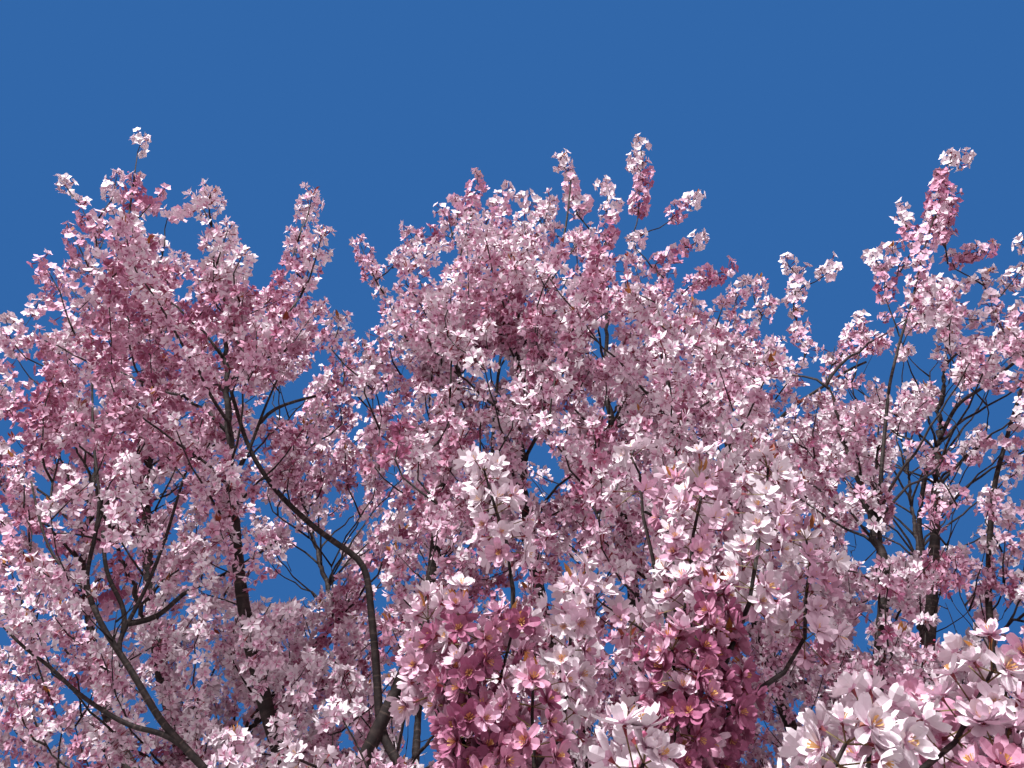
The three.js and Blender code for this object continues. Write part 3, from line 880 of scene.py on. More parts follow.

# Near sprays
# The lowest shoots hang so near the camera that single flowers show: two deep pink ones left
# and right of the middle, paler ones above and at the lower right. They grow from the near bough.
# A row is the pixel and the distance of its foot, the same of its tip, and its tint.
# The deep tints of these sprays are in part painted shade, of flowers seen from their shaded underside.
NEAR_SPRAYS = [
    (500, 850, 0.8, 460, 616, 0.84, 3), (478, 850, 0.84, 512, 634, 0.86, 4),
    (535, 860, 0.8, 533, 690, 0.82, 3), (500, 860, 0.82, 452, 690, 0.84, 3),
    (436, 720, 0.84, 428, 620, 0.88, 1), (560, 740, 0.9, 574, 590, 0.94, 0),
    (650, 790, 0.8, 712, 596, 0.84, 3), (664, 800, 0.78, 672, 650, 0.8, 4),
    (690, 790, 0.82, 726, 650, 0.84, 4), (600, 870, 0.54, 644, 764, 0.55, 0),
    (742, 620, 0.84, 768, 468, 0.86, 0), (690, 640, 0.86, 700, 480, 0.9, 1),
    (800, 660, 0.88, 806, 540, 0.92, 1), (512, 566, 0.9, 484, 470, 0.92, 0),
    (780, 860, 0.56, 846, 744, 0.56, 0), (936, 766, 0.6, 992, 672, 0.62, 1),
    (852, 840, 0.58, 872, 724, 0.58, 0), (960, 880, 0.58, 1004, 746, 0.6, 3),
    (870, 850, 0.64, 912, 716, 0.68, 3),
]
near_wood = Wood()
near_wood.add(limb_point(limb_named["near"], np.linspace(0.6, 1, 20)), -1)
for *foot_seen, tip_u, tip_v, tip_out, tint in NEAR_SPRAYS:
    foot = place_seen(*foot_seen)
    tip = place_seen(tip_u, tip_v, tip_out)
    line, _, bare = near_wood.plume_to(foot, tip, steepness=0.3, lifts=(0.2, 0.3))
    bloom = bare / len(line)
    owner = add_shoot(line, "near", tint, "spray", foot=0.0042, tip=0.0016, bloom=bloom)
    near_wood.add(line, owner)

# Blossom
# Semi-double flowers sit at spurs along the shoots, so that a shoot looks like a loose plume.
# Where the photograph shows the backdrop or a stem, spurs carry none. Open places are a pixel
# and a radius there, seen stems a route of pixels.
OPEN_PLACES = [
    (298, 566, 17), (326, 560, 21), (342, 528, 15), (280, 592, 11), (304, 586, 15), (366, 413, 9),
    (362, 312, 10), (384, 396, 7), (160, 492, 9), (150, 512, 8), (391, 477, 8), (430, 569, 9),
    (136, 373, 8), (65, 459, 7), (288, 402, 18), (425, 714, 12), (410, 750, 12), (436, 752, 8),
    (348, 740, 9), (540, 456, 9), (556, 470, 8), (532, 486, 7), (552, 494, 7), (612, 410, 8),
    (552, 600, 12), (868, 552, 16), (850, 536, 8), (935, 418, 10), (900, 508, 13), (906, 472, 14),
    (914, 536, 16), (963, 519, 16), (956, 606, 18), (868, 366, 11), (884, 378, 8), (927, 350, 12),
    (985, 334, 7), (893, 330, 7), (835, 340, 9), (812, 372, 9), (931, 331, 7), (1000, 420, 9),
    (985, 412, 12), (1012, 398, 8), (910, 340, 8), (950, 388, 8), (977, 479, 12), (966, 420, 14),
    (958, 622, 13), (1010, 618, 11), (900, 545, 12), (938, 445, 10), (905, 440, 9), (920, 372, 12),
    (860, 395, 10), (186, 470, 8), (876, 610, 10), (858, 640, 9), (905, 530, 9), (960, 470, 9),
    (986, 400, 10), (420, 730, 10), (596, 350, 7), (560, 290, 7), (530, 300, 6), (575, 260, 6),
]
STEMS_SEEN = [
    [(163, 726), (134, 675), (106, 635), (93, 606)], [(104, 712), (69, 687), (50, 665)],
    [(126, 627), (148, 585), (166, 538), (183, 479)], [(129, 613), (105, 575), (103, 531)],
    [(84, 580), (94, 543), (100, 509), (98, 479), (93, 442), (92, 400)],
    [(52, 556), (41, 528), (31, 490)], [(171, 608), (181, 590)],
    [(376, 740), (370, 600), (366, 562), (312, 526), (278, 494), (258, 466), (246, 442), (231, 391)],
    [(262, 414), (277, 380)], [(263, 412), (316, 396)],
    [(918, 522), (926, 470), (945, 427), (975, 393)], [(988, 600), (990, 530)],
    [(1002, 451), (1019, 397)], [(889, 388), (903, 330)], [(494, 416), (498, 380)],
]
# Where blossom is only thinned: a pixel, a radius and the share that stays
THIN_PLACES = [(925, 490, 60, 0.85)]
# Where blossom opens at random: an area's left and right ends in pixels, its top and bottom,
# and the level of slow noise above which there is none
LOOSE_AREAS = [
    (0, 1024, 0, 768, 0.50), (830, 1010, 430, 640, 0.24), (760, 1024, 250, 440, 0.27),
    (130, 210, 440, 540, 0.45), (540, 640, 400, 620, 0.32), (500, 640, 250, 390, 0.34),
]
LOOSE_TOP = 60
LOOSE_TOP_LEVEL = 0.30
OPENING_WIDTH, OPENING_HEIGHT = 26, 44
SOFT_EDGE = (0.85, 1.2)
OPEN_MARGIN = 14
STEM_CLEARANCE = 7
STEM_MARGIN = 10
STEMS_AHEAD = 2.3
SKYLINE_MARGIN = 2
SHOWN_HALF_WIDTH = 620
SHOWN_BOTTOM = 800
NEAR_LIMIT = 0.98
SPUR_GAP = 0.0245
SPUR_JITTER = 0.35
FAR_FORM, MIDDLE_FORM, NEAR_FORM = 2.9, 1.55, 0.94
FAR_GAP_SHARE = 1.22


def opening(u, v):
    """Slow noise over the picture, taller than wide as the gaps between plumes are."""
    places = [Vector((x / OPENING_WIDTH, y / OPENING_HEIGHT, 4.2)) for x, y in zip(u, v)]
    return np.array([noise.noise(place) for place in places])


# What may cut the blossom of a shoot: plumes may pass the skyline, near sprays are cut by nothing
CUT, PASSES_SKYLINE, UNCUT = 0, 1, 2
FREE_KINDS = {"plume": PASSES_SKYLINE, "seen": PASSES_SKYLINE, "spray": UNCUT}
GAP_SHARES = {"plume": 0.86, "spray": 0.70}


def spurs():
    """Where clusters sit: place, shoot heading, tint, group number, whether at a tip, what
    may cut them and the number of their shoot."""
    places, headings, tints, groups, ends, kinds, sources = [], [], [], [], [], [], []
    for number, shoot in enumerate(shoots):
        line = shoot["line"]
        passed = lengths_along(line)
        gap = SPUR_GAP * GAP_SHARES.get(shoot["kind"], 1.0)
        if gap == SPUR_GAP and np.linalg.norm(line[-1] - EYE) > FAR_FORM:
            gap *= FAR_GAP_SHARE
        at = np.arange(passed[-1], shoot["bloom"] * passed[-1], -gap)
        at[1:] += chance.uniform(-SPUR_JITTER, SPUR_JITTER, len(at) - 1) * gap
        # A long plume's last cluster stands by itself
        if shoot["kind"] == "plume" and len(at) > 4:
            at = np.delete(at, 1)
        ahead = unit(np.gradient(line, axis=0))
        places.append(np.stack([np.interp(at, passed, line[:, k]) for k in range(3)], axis=1))
        headings.append(np.stack([np.interp(at, passed, ahead[:, k]) for k in range(3)], axis=1))
        tints.append(np.full(len(at), shoot["tint"]))
        groups.append(np.full(len(at), group_names.index(shoot["group"])))
        ends.append(np.arange(len(at)) == 0)
        kinds.append(np.full(len(at), FREE_KINDS.get(shoot["kind"], CUT)))
        sources.append(np.full(len(at), number))
    lists = (places, headings, tints, groups, ends, kinds, sources)
    parts = [np.concatenate(part) for part in lists]
    return parts[0], unit(parts[1]), *parts[2:]


def kept_spurs(places, free):
    """False where the photograph shows the backdrop or a bare stem in front of the blossom."""
    u, v, depth = seen_at(places)
    shown = (depth > NEAREST_SHOWN) & (np.abs(u - PHOTO_WIDTH / 2) < SHOWN_HALF_WIDTH)
    shown &= v < SHOWN_BOTTOM
    kept = ~over_skyline(places, SKYLINE_MARGIN)
    soft = chance.uniform(*SOFT_EDGE, len(places))
    gaps = opening(u, v)
    kept &= ~(shown & (v < skyline_at(u) + LOOSE_TOP) & (gaps > LOOSE_TOP_LEVEL))
    for left, right, top, bottom, level in LOOSE_AREAS:
        kept &= ~(shown & (u > left) & (u < right) & (v > top) & (v < bottom) & (gaps > level))
    kept |= free == PASSES_SKYLINE
    for x, y, radius in OPEN_PLACES:
        inside = np.hypot(u - x, v - y) < (radius + OPEN_MARGIN / np.maximum(depth, 1)) * soft
        kept &= ~(inside & shown)
    for x, y, radius, share in THIN_PLACES:
        inside = np.hypot(u - x, v - y) < radius * soft
        kept &= ~(inside & shown & (chance.random(len(places)) > share))
    for route in STEMS_SEEN:
        for (x0, y0), (x1, y1) in zip(route, route[1:]):
            t = ((u - x0) * (x1 - x0) + (v - y0) * (y1 - y0)) / ((x1 - x0) ** 2 + (y1 - y0) ** 2)
            t = np.clip(t, 0, 1)
            off = np.hypot(u - x0 - t * (x1 - x0), v - y0 - t * (y1 - y0))
            clearance = (STEM_CLEARANCE + STEM_MARGIN / np.maximum(depth, 1)) * soft
            kept &= ~((off < clearance) & (depth < STEMS_AHEAD) & shown)
    kept &= ~(shown & (depth < NEAR_LIMIT))
    return kept | (free == UNCUT)


# Where the picture of the crown is still thin, one more shoot grows from the wood behind it
FILL_TRIES = 6000
FILL_NEAR = 19
FILL_ENOUGH = 4
FILL_LONGEST = 0.52
FILL_CORNERS = ((-60, 130), (1084, 800))
FILL_RISE = 30
FILL_CHOICE = 40
FILL_JITTER = 0.08
FILL_DEPTHS = (1.6, 3.6)
FILL_FLOOR = 1.2
HIDDEN = 9999
first_places, *_, first_free, _ = spurs()
blooming = first_places[kept_spurs(first_places, first_free)]
blooming_u, blooming_v, _ = seen_at(blooming)
wood_u, wood_v, wood_depth = seen_at(crown.points)
wood_seen = (wood_depth > FILL_DEPTHS[0]) & (wood_depth < FILL_DEPTHS[1])
wood_seen &= crown.points[:, 2] > FILL_FLOOR
for u, v in chance.uniform(*FILL_CORNERS, (FILL_TRIES, 2)):
    if np.sum(np.hypot(blooming_u - u, blooming_v - v) < FILL_NEAR) >= FILL_ENOUGH:
        continue
    off = np.hypot(wood_u - u, wood_v - v - FILL_RISE) + np.where(wood_seen, 0, HIDDEN)
    nearby = np.argsort(off)[:FILL_CHOICE]
    at = nearby[chance.integers(0, len(nearby))]
    out = crown.points[at, 1] - EYE[1] + chance.uniform(-FILL_JITTER, FILL_JITTER)
    tip = place_seen(u, v, out)
    if np.any(tip < np.array(cad_low)) or np.any(tip > np.array(cad_high)):
        continue
    if np.linalg.norm(tip - crown.points[at]) > FILL_LONGEST:
        continue
    if not kept_spurs(np.array([tip]), np.array([CUT]))[0]:
        continue
    line, parent = crown.shoot_to(tip, steepness=0.6, lift=0.5, crook=0.003)
    if len(line) * STEP > FILL_LONGEST:
        continue
    group, tint = shoots[max(parent, 0)]["group"], spray_tint(tip)
    owner = add_shoot(line, group, tint, "fill", parent, foot=0.0026, tip=0.0012, bloom=0.1)
    crown.add(line[1:], owner)
    added_u, added_v, _ = seen_at(line[1:])
    blooming_u, blooming_v = np.append(blooming_u, added_u), np.append(blooming_v, added_v)
    wood_u, wood_v = np.append(wood_u, added_u), np.append(wood_v, added_v)
    wood_seen = np.append(wood_seen, np.full(len(added_u), True))

spur_place, spur_heading, spur_tint, spur_group, spur_end, spur_free, spur_shoot = spurs()
kept = kept_spurs(spur_place, spur_free)
spurs_on = np.bincount(spur_shoot, minlength=len(shoots))
share_kept = np.bincount(spur_shoot, kept, len(shoots)) / spurs_on
# Twigs that lost their blossom to an opening go as well, unless another shoot grows from them
BARE_SHARE = 0.34
DROPPED_KINDS = ("twig", "fill", "spur", "branch")
bears = np.zeros(len(shoots), bool)
dropped = np.zeros(len(shoots), bool)
for n in range(len(shoots) - 1, -1, -1):
    shoot = shoots[n]
    if shoot["kind"] in DROPPED_KINDS and share_kept[n] < BARE_SHARE and not bears[n]:
        dropped[n] = True
    elif shoot["parent"] >= 0:
        bears[shoot["parent"]] = True
kept &= ~dropped[spur_shoot]

# What is left ends at its last flowers or at the last shoot that grows from it
SPARE_STEPS = 2
FEWEST_POINTS = 4
last_used = np.zeros(len(shoots), int)
for n, shoot in enumerate(shoots):
    line = shoot["line"]
    for place in spur_place[kept & (spur_shoot == n)]:
        last_used[n] = max(last_used[n], np.argmin(np.linalg.norm(line - place, axis=1)))
    if shoot["parent"] >= 0 and not dropped[n]:
        parent_line = shoots[shoot["parent"]]["line"]
        at = np.argmin(np.linalg.norm(parent_line - line[0], axis=1))
        last_used[shoot["parent"]] = max(last_used[shoot["parent"]], at)
for n, shoot in enumerate(shoots):
    if shoot["kind"] != "seen":
        shoot["line"] = shoot["line"][:max(FEWEST_POINTS, last_used[n] + SPARE_STEPS)]

# Twigs
# Young wood, dark and thin, joined into two pieces: leaders and seen stems, round enough to
# show their bark, and the thinner branches and twigs, three-sided.
THICK_KINDS = ("leader", "seen")
STEEP_STEM = 0.94


def stem_rings(line, foot, tip, sides):
    """Points of the rings round one stem, with their length along it."""
    passed = lengths_along(line)
    radii = foot + (tip - foot) * (passed / passed[-1]) ** TAPER
    ahead = unit(np.gradient(line, axis=0))
    side = np.where(np.abs(ahead[:, 2:]) > STEEP_STEM, [[1.0, 0, 0]], [[0, 0, 1.0]])
    one = unit(np.cross(ahead, side))
    two = np.cross(ahead, one)
    angle = np.arange(sides) / sides * 2 * np.pi
    right = np.cos(angle)[None, :, None] * one[:, None]
    up = np.sin(angle)[None, :, None] * two[:, None]
    rings = line[:, None] + (right + up) * radii[:, None, None]
    return rings.reshape(-1, 3), np.repeat(passed, sides)


def joined_mesh(name, points, loops, sizes, slots=None, smooth=False):
    """One mesh from arrays: corner points, the corners of every face in turn, and face sizes."""
    mesh = bpy.data.meshes.new(name)
    mesh.vertices.add(len(points))
    mesh.vertices.foreach_set("co", np.ascontiguousarray(points, dtype=np.float32).ravel())
    mesh.loops.add(len(loops))
    mesh.loops.foreach_set("vertex_index", np.ascontiguousarray(loops, dtype=np.int32))
    mesh.polygons.add(len(sizes))
    starts = np.concatenate([[0], np.cumsum(sizes)[:-1]])
    mesh.polygons.foreach_set("loop_start", np.ascontiguousarray(starts, dtype=np.int32))
    if slots is not None:
        mesh.polygons.foreach_set("material_index", np.ascontiguousarray(slots, dtype=np.int32))
    mesh.polygons.foreach_set("use_smooth", np.full(len(sizes), smooth))
    mesh.update(calc_edges=True)
    return mesh


def stems_mesh(name, chosen, sides, every):
    """All chosen shoots as closed tubes in one mesh, with the length along each kept."""
    points, along, loops, sizes = [], [], [], []
    count = 0
    for shoot in chosen:
        line = shoot["line"]
        kept = np.unique(np.append(np.arange(0, len(line), every), len(line) - 1))
        rings, passed = stem_rings(line[kept], shoot["foot"], shoot["tip"], sides)
        points.append(rings)
        along.append(passed)
        ring = np.arange(sides)
        after = (ring + 1) % sides
        for n in range(len(kept) - 1):
            low, high = count + n * sides, count + (n + 1) * sides
            quads = np.stack([low + ring, low + after, high + after, high + ring], axis=1)
            loops.append(quads.ravel())
            sizes.append(np.full(sides, 4))
        loops.append(count + ring[::-1])
        loops.append(count + (len(kept) - 1) * sides + ring)
        sizes.append([sides, sides])
        count += len(rings)
    arrays = np.vstack(points), np.concatenate(loops), np.concatenate(sizes)
    mesh = joined_mesh(name, *arrays, smooth=True)
    layer = mesh.attributes.new("along", "FLOAT", "POINT")
    layer.data.foreach_set("value", np.concatenate(along).astype(np.float32))
    return mesh


young_bark = bark_material("young_bark", grain=70, bands=110)
standing = [shoot for n, shoot in enumerate(shoots) if not dropped[n]]
thick = [shoot for shoot in standing if shoot["kind"] in THICK_KINDS]
thin = [shoot for shoot in standing if shoot["kind"] not in THICK_KINDS]
leader_mesh = stems_mesh("leaders", thick, sides=8, every=1)
add_piece("leader_branches", leader_mesh, [young_bark])
add_piece("twigs", stems_mesh("twigs", thin, sides=3, every=2), [young_bark])

spur_place, spur_heading, spur_tint = spur_place[kept], spur_heading[kept], spur_tint[kept]
spur_group, spur_end, spur_free = spur_group[kept], spur_end[kept], spur_free[kept]

# Flowers
# Three to five at every spur and more at a shoot's tip, each facing out from it. The nearer to
# the viewer, the rounder their petals, in four kinds with a few forms each. Petals are pale and
# deeper at the heart of a flower; in shaded sprays and on a shoot's lower side they are painted
# deeper as painted shade, and paler on its upper side as painted light.
FLOWER_RADIUS = 0.0210
FLOWER_SIZES = (0.84, 1.14)
SPRAY_SIZE = 0.9
GOLDEN = math.radians(137.5)
DROOP = 0.2
TIP_REACH = (0.006, 0.034)
SIDE_REACH = (0.017, 0.036)
UNDER, ABOVE_SHOOT = -0.05, 0.40
TINT_STEPS = [-1, -1, 0, 0, 0, 1, 1]
RIM_FACING = 0.35
RIM_LOWEST = -0.5
DEEPEST_TINT = 4

more_at_tips = spur_end * (2 - (spur_free == PASSES_SKYLINE))
flower_count = chance.integers(3, 5, len(spur_place)) + more_at_tips + (spur_free > CUT)
owner = np.repeat(np.arange(len(spur_place)), flower_count)
first = np.concatenate([[0], np.cumsum(flower_count)[:-1]])
share_round = (np.arange(len(owner)) - first[owner]) * 2 * np.pi / flower_count[owner]
turn = owner * GOLDEN + share_round + chance.normal(0, 0.3, len(owner))
heading = spur_heading[owner]
one = unit(np.cross(heading, [0.31, 0.17, 0.05]))
two = np.cross(heading, one)
rise = chance.uniform(-0.2, 0.5, len(owner)) + spur_end[owner] * chance.uniform(0.1, 1.4, len(owner))
flower_out = np.cos(turn)[:, None] * one + np.sin(turn)[:, None] * two + heading * rise[:, None]
flower_out[:, 2] -= DROOP
flower_out = unit(flower_out + chance.normal(0, 0.15, flower_out.shape))
tip_reach = chance.uniform(*TIP_REACH, len(owner))
side_reach = chance.uniform(*SIDE_REACH, len(owner))
flower_reach = np.where(spur_end[owner], tip_reach, side_reach)
flower_place = spur_place[owner] + flower_out * flower_reach[:, None]
flower_face = unit(flower_out + chance.normal(0, 0.28, flower_out.shape))
flower_size = FLOWER_RADIUS * chance.uniform(*FLOWER_SIZES, len(owner))
flower_size[spur_free[owner] == UNCUT] *= SPRAY_SIZE
# Painted light and shade: those on the lower side of a shoot are painted deeper as painted shade, those
# that stand up from it paler as painted light
painted_shade_step = (flower_out[:, 2] < UNDER).astype(int) - (flower_out[:, 2] > ABOVE_SHOOT)
flower_tint = spur_tint[owner] + painted_shade_step + chance.choice(TINT_STEPS, len(owner))
# Painted light: flowers at the rim of a near spray are painted paler for the light that comes through
# their petals
toward_eye = (flower_out * unit(EYE - flower_place)).sum(1)
lit_rim = (spur_free[owner] == UNCUT) & (toward_eye < RIM_FACING) & (flower_out[:, 2] > RIM_LOWEST)
flower_tint -= np.where(lit_rim, chance.integers(0, 3, len(owner)), 0)
flower_tint = np.clip(flower_tint, 0, DEEPEST_TINT)


def frames_facing(face, size, spin):
    """Axes for copies whose own Z looks along face, scaled and spun about it."""
    helper = np.where(np.abs(face[:, 2:]) > 0.9, [[1.0, 0, 0]], [[0, 0, 1.0]])
    one = unit(np.cross(helper, face))
    two = np.cross(face, one)
    x = np.cos(spin)[:, None] * one + np.sin(spin)[:, None] * two
    y = np.cross(face, x)
    return np.stack([x, y, face], axis=2) * size[:, None, None]


# Petals one long and one wide: points along, across and lifted, their faces, and how many of
# these at the foot take the deeper tint of the heart
KITE = {"points": [(0.05, 0, 0), (0.60, -0.5, 0.14), (1.0, 0, 0), (0.60, 0.5, 0.14)],
        "faces": [(0, 1, 2), (0, 2, 3)], "heart": 0}
SHIELD = {"points": [(0.05, 0, 0), (0.48, -0.5, 0.14), (0.95, -0.26, 0.05), (0.95, 0.26, 0.05),
                     (0.48, 0.5, 0.14)],
          "faces": [(0, 1, 2), (0, 2, 3), (0, 3, 4)], "heart": 0}
BLADE = {"points": [(0.08, 0, 0), (0.86, -0.38, 0.05), (0.86, 0.38, 0.05)],
         "faces": [(0, 1, 2)], "heart": 0}
FULL = {"points": [], "faces": [], "heart": 2}
FULL_WIDTHS = [(0.04, 0.10), (0.28, 0.34), (0.62, 0.50), (0.86, 0.43), (1.0, 0.22)]
NOTCH = 0.05
CUPPING = 0.16
for row, (along, half) in enumerate(FULL_WIDTHS):
    middle = along - NOTCH if row == len(FULL_WIDTHS) - 1 else along
    FULL["points"] += [(along, -half, CUPPING), (middle, 0, 0), (along, half, CUPPING)]
    if row:
        a = row * 3 - 3
        FULL["faces"] += [(a + 1, a + 4, a + 3, a), (a + 2, a + 5, a + 4, a + 1)]


def petal(outline, length, width, rise, curl, turn):
    """One petal's points. It leaves the flower's heart at an angle and curls."""
    points = []
    for along, half, lift in outline["points"]:
        angle = rise + curl * along
        x = along * length * math.cos(angle) - lift * width * math.sin(angle)
        y = half * width
        z = along * length * math.sin(angle) + lift * width * math.cos(angle)
        across = x * math.sin(turn) + y * math.cos(turn)
        points.append((x * math.cos(turn) - y * math.sin(turn), across, z))
    return points


def flower_form(whorls, stamens, seed):
    """One flower of radius 1: whorls of petals and a tuft of stamens. Slot 0 is the spray's
    tint, 1 the deeper one of the heart and 2 the stamens."""
    own = np.random.default_rng(seed)
    points, faces, slots = [], [], []
    for outline, count, length, width, rise, curl, slot in whorls:
        start = own.uniform(0, 2 * math.pi)
        for k in range(count):
            turn = start + 2 * math.pi * k / count + own.normal(0, 0.10)
            made = petal(
                outline, length * own.uniform(0.84, 1.1), width * own.uniform(0.86, 1.1),
                rise + own.normal(0, 0.17), curl + own.normal(0, 0.12), turn,
            )
            faces += [tuple(corner + len(points) for corner in face) for face in outline["faces"]]
            slots += [1] * outline["heart"] + [slot] * (len(outline["faces"]) - outline["heart"])
            points += made
    for k in range(stamens):
        turn = 2 * math.pi * (k + own.uniform(-0.3, 0.3)) / stamens
        tilt = own.uniform(0.15, 0.6)
        flat = math.sin(tilt)
        tip = np.array([math.cos(turn) * flat, math.sin(turn) * flat, math.cos(tilt)]) * STAMEN_LENGTH
        side = np.array([-math.sin(turn), math.cos(turn), 0]) * STAMEN_HALF
        faces.append((len(points), len(points) + 1, len(points) + 2))
        points += [(0, 0, 0.02), tuple(tip + side), tuple(tip - side)]
        slots.append(2)
    return np.array(points), faces, np.array(slots)


# A whorl's row is its outline, number, length, half width, rise, curl and slot
STAMEN_LENGTH = 0.46
STAMEN_HALF = 0.035
WHORLS = [
    [(KITE, 5, 1.0, 0.84, 0.16, 0.22, 0)],
    [(KITE, 6, 1.04, 0.58, 0.18, 0.22, 0), (BLADE, 3, 0.66, 0.62, 0.80, 0.1, 1)],
    [(SHIELD, 7, 1.0, 0.46, 0.10, 0.25, 0), (SHIELD, 4, 0.78, 0.42, 0.60, 0.25, 0)],
    [(FULL, 6, 1.02, 0.52, 0.03, 0.28, 0), (FULL, 4, 0.80, 0.46, 0.50, 0.20, 0)],
]
# Stamens, number of forms and first seed of each kind of flower, from the farthest to the nearest
KINDS = [(0, 4, 30), (0, 4, 0), (3, 4, 10), (9, 5, 20)]
FORM_PICKS = 60
flower_forms = [
    [flower_form(whorls, stamens, seed + n) for n in range(count)]
    for whorls, (stamens, count, seed) in zip(WHORLS, KINDS)
]
distance = np.linalg.norm(flower_place - EYE, axis=1)
flower_kind = sum((distance < limit).astype(int) for limit in (FAR_FORM, MIDDLE_FORM, NEAR_FORM))
flower_frame = frames_facing(flower_face, flower_size, chance.uniform(0, 6.28, len(owner)))
flower_pick = chance.integers(0, FORM_PICKS, len(owner))


def copies(form, frames, places, slot_table):
    """Copies of one form as arrays: points, face corners, face sizes and slots. The table has
    a row for each copy and a column for each slot of the form."""
    points, faces, slots = form
    made = places[:, None] + np.einsum("nij,vj->nvi", frames, points)
    corners = np.array([corner for face in faces for corner in face])
    sizes = np.array([len(face) for face in faces])
    loops = corners + (np.arange(len(places)) * len(points))[:, None]
    return made.reshape(-1, 3), loops.ravel(), np.tile(sizes, len(places)), slot_table[:, slots].ravel()


def join_copies(name, parts, smooth=False):
    """Several parts of copies as one mesh."""
    before = np.cumsum([0] + [len(part[0]) for part in parts])
    points, loops, sizes, slots = zip(*parts)
    loops = [corners + count for corners, count in zip(loops, before)]
    joined = [np.concatenate(arrays) for arrays in (points, loops, sizes, slots)]
    return joined_mesh(name, *joined, smooth)


PETAL_TINTS = [
    ("petal_blush", (0.80, 0.685, 0.742, 1)),
    ("petal_pale", (0.745, 0.55, 0.645, 1)),
    ("petal_shell", (0.70, 0.42, 0.55, 1)),
    ("petal_rose", (0.58, 0.27, 0.39, 1)),
    ("petal_deep", (0.38, 0.115, 0.215, 1)),
    ("petal_heart", (0.30, 0.06, 0.12, 1)),
    ("stamens", (0.72, 0.42, 0.16, 1)),
]
HEART_SLOT, STAMEN_SLOT = 5, 6
HEART_STEP = 2
petal_finishes = [plain_material(name, tint, roughness=0.55, sheen=0.1) for name, tint in PETAL_TINTS]
heart = np.minimum(flower_tint + HEART_STEP, HEART_SLOT)
flower_slots = np.stack([flower_tint, heart, np.full(len(owner), STAMEN_SLOT)], axis=1)
mass_nodes = sorted(name for name in frame["nodes"] if name.startswith("blossom_"))
for number, group in enumerate(group_names):
    parts = []
    for kind, forms in enumerate(flower_forms):
        here = (spur_group[owner] == number) & (flower_kind == kind)
        for pick, form in enumerate(forms):
            chosen = np.flatnonzero(here & (flower_pick % len(forms) == pick))
            if len(chosen):
                frames, places = flower_frame[chosen], flower_place[chosen]
                parts.append(copies(form, frames, places, flower_slots[chosen]))
    stands_for = [
        name for name in mass_nodes
        if name.removeprefix("blossom_").rsplit("_", 1)[0].removesuffix("_fork") == group
    ]
    name = "flowers_" + group
    add_piece(name, join_copies(name, parts), petal_finishes, stands_for)

# Stalks and calyces
# Every flower hangs on its own stalk, green and red, which widens into a dark red calyx. Far
# ones are a single sliver, near ones three-sided.
CALYX_HALF = 0.0022
STALK_HALF = 0.0007
STALK_RINGS = [(0.0, STALK_HALF), (0.78, STALK_HALF), (1.0, CALYX_HALF)]
STALK_SIDES = 3
THIRD_TURN = 2.0944
STALK_UNDER = 0.04
ACROSS_STALKS = [0.35, 0.21, 0.91]
stalk_tint = plain_material("stalk", (0.17, 0.115, 0.045, 1), roughness=0.6)
calyx_tint = plain_material("calyx", (0.21, 0.030, 0.040, 1), roughness=0.6)
stalk_foot = spur_place[owner]
stalk_end = flower_place + flower_face * (STALK_UNDER * flower_size)[:, None]
across = unit(np.cross(stalk_end - stalk_foot, ACROSS_STALKS)) * CALYX_HALF
far = np.flatnonzero(flower_kind < 2)
slivers = [stalk_foot[far], stalk_end[far] - across[far], stalk_end[far] + across[far]]
far_points = np.stack(slivers, axis=1).reshape(-1, 3)
far_part = (far_points, np.arange(len(far_points)), np.full(len(far), 3), np.full(len(far), 1))
close = np.flatnonzero(flower_kind > 1)
foot, end = stalk_foot[close], stalk_end[close]
line_ahead = unit(end - foot)
one_side = unit(np.cross(line_ahead, ACROSS_STALKS))
two_side = np.cross(line_ahead, one_side)
spokes = [
    math.cos(k * THIRD_TURN) * one_side + math.sin(k * THIRD_TURN) * two_side
    for k in range(STALK_SIDES)
]
rings = [foot + (end - foot) * share + spoke * half for share, half in STALK_RINGS for spoke in spokes]
ring_faces = [
    (row + k, row + (k + 1) % STALK_SIDES, row + 3 + (k + 1) % STALK_SIDES, row + 3 + k)
    for row in (0, STALK_SIDES) for k in range(STALK_SIDES)
]
starts = np.arange(len(close)) * len(rings)
close_part = (
    np.stack(rings, axis=1).reshape(-1, 3), (np.array(ring_faces).ravel() + starts[:, None]).ravel(),
    np.full(len(close) * len(ring_faces), 4), np.tile([0] * 3 + [1] * 3, len(close)),
)
add_piece("stalks", join_copies("stalks", [far_part, close_part]), [stalk_tint, calyx_tint])

# Buds
# Unopened buds stand among the flowers, drop-shaped and deeper pink than the petals. Each is
# a smooth drop of six faces, and about one spur in five has a bud.
BUD_SHARE = 0.22
BUD_LENGTH = 0.0105
BUD_SIZES = (0.7, 1.15)
BUD_REACH = (0.020, 0.044)
BUD_POINTS = [(0, 0, -0.5), (0.26, 0, 0), (-0.13, 0.225, 0), (-0.13, -0.225, 0), (0, 0, 0.5)]
BUD_FACES = [(0, 2, 1), (0, 3, 2), (0, 1, 3), (4, 1, 2), (4, 2, 3), (4, 3, 1)]
BUD_TINTS = [("bud", (0.56, 0.13, 0.25, 1)), ("bud_red", (0.40, 0.05, 0.11, 1))]
bud_form = (np.array(BUD_POINTS), BUD_FACES, np.zeros(len(BUD_FACES), int))
bud_on = np.flatnonzero(chance.random(len(spur_place)) < BUD_SHARE)
bud_out = unit(chance.normal(0, 1, (len(bud_on), 3)) + 0.6 * spur_heading[bud_on])
bud_place = spur_place[bud_on] + bud_out * chance.uniform(*BUD_REACH, len(bud_on))[:, None]
bud_size = BUD_LENGTH * chance.uniform(*BUD_SIZES, len(bud_on))
bud_frames = frames_facing(bud_out, bud_size, np.zeros(len(bud_on)))
bud_part = copies(bud_form, bud_frames, bud_place, (bud_on % len(BUD_TINTS))[:, None])
bud_finishes = [plain_material(name, tint, roughness=0.5) for name, tint in BUD_TINTS]
add_piece("buds", join_copies("buds", [bud_part], smooth=True), bud_finishes)

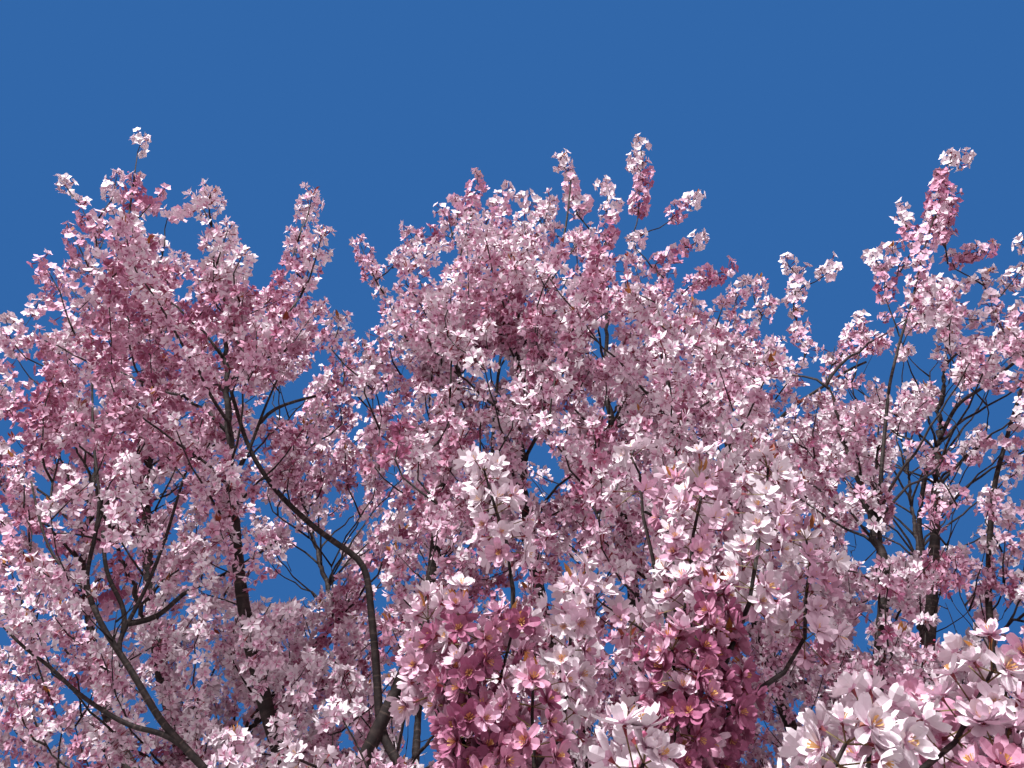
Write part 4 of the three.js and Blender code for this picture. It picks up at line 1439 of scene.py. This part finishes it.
# Young leaves
# Folded bronze leaves open in tufts of three at some of the shoot tips, between the flowers.
# Each is six faces with a sunk midrib, in bronze, copper or red.
LEAF_SHARE = 0.30
MORE_ON_SPRAYS = 0.4
LEAVES_IN_TUFT = 3
LEAF_LENGTHS = (0.016, 0.032)
SPRAY_LEAF_SIZE = 0.80
LEAF_FOOT = 0.012
LEAF_POINTS = [(0, 0, 0), (0.3, -0.17, 0.08), (0.72, -0.13, 0.08), (1, 0, -0.05), (0.72, 0.13, 0.08),
               (0.3, 0.17, 0.08), (0.5, 0, 0)]
LEAF_FACES = [(0, 1, 6), (1, 2, 6), (2, 3, 6), (3, 4, 6), (4, 5, 6), (5, 0, 6)]
LEAF_TINTS = [
    ("leaf_bronze", (0.30, 0.100, 0.028, 1)), ("leaf_copper", (0.42, 0.175, 0.050, 1)),
    ("leaf_red", (0.27, 0.055, 0.030, 1)),
]
leaf_form = (np.array(LEAF_POINTS), LEAF_FACES, np.zeros(len(LEAF_FACES), int))
tuft_share = LEAF_SHARE + MORE_ON_SPRAYS * (spur_free == UNCUT)
tufts = np.flatnonzero(spur_end & (chance.random(len(spur_place)) < tuft_share))
tuft = np.repeat(tufts, LEAVES_IN_TUFT)
leaf_way = unit(spur_heading[tuft] + 0.3 * UP + chance.normal(0, 0.4, (len(tuft), 3)))
leaf_side = unit(np.cross(leaf_way, chance.normal(0, 1, (len(tuft), 3))))
leaf_length = chance.uniform(*LEAF_LENGTHS, len(tuft))
leaf_length *= np.where(spur_free[tuft] == UNCUT, SPRAY_LEAF_SIZE, 1.0)
leaf_frames = np.stack([leaf_way, leaf_side, np.cross(leaf_way, leaf_side)], axis=2)
leaf_frames *= leaf_length[:, None, None]
leaf_places = spur_place[tuft] + leaf_way * LEAF_FOOT
leaf_part = copies(leaf_form, leaf_frames, leaf_places, (tuft % len(LEAF_TINTS))[:, None])
leaf_finishes = [plain_material(name, tint, roughness=0.5) for name, tint in LEAF_TINTS]
add_piece("young_leaves", join_copies("leaves", [leaf_part]), leaf_finishes)
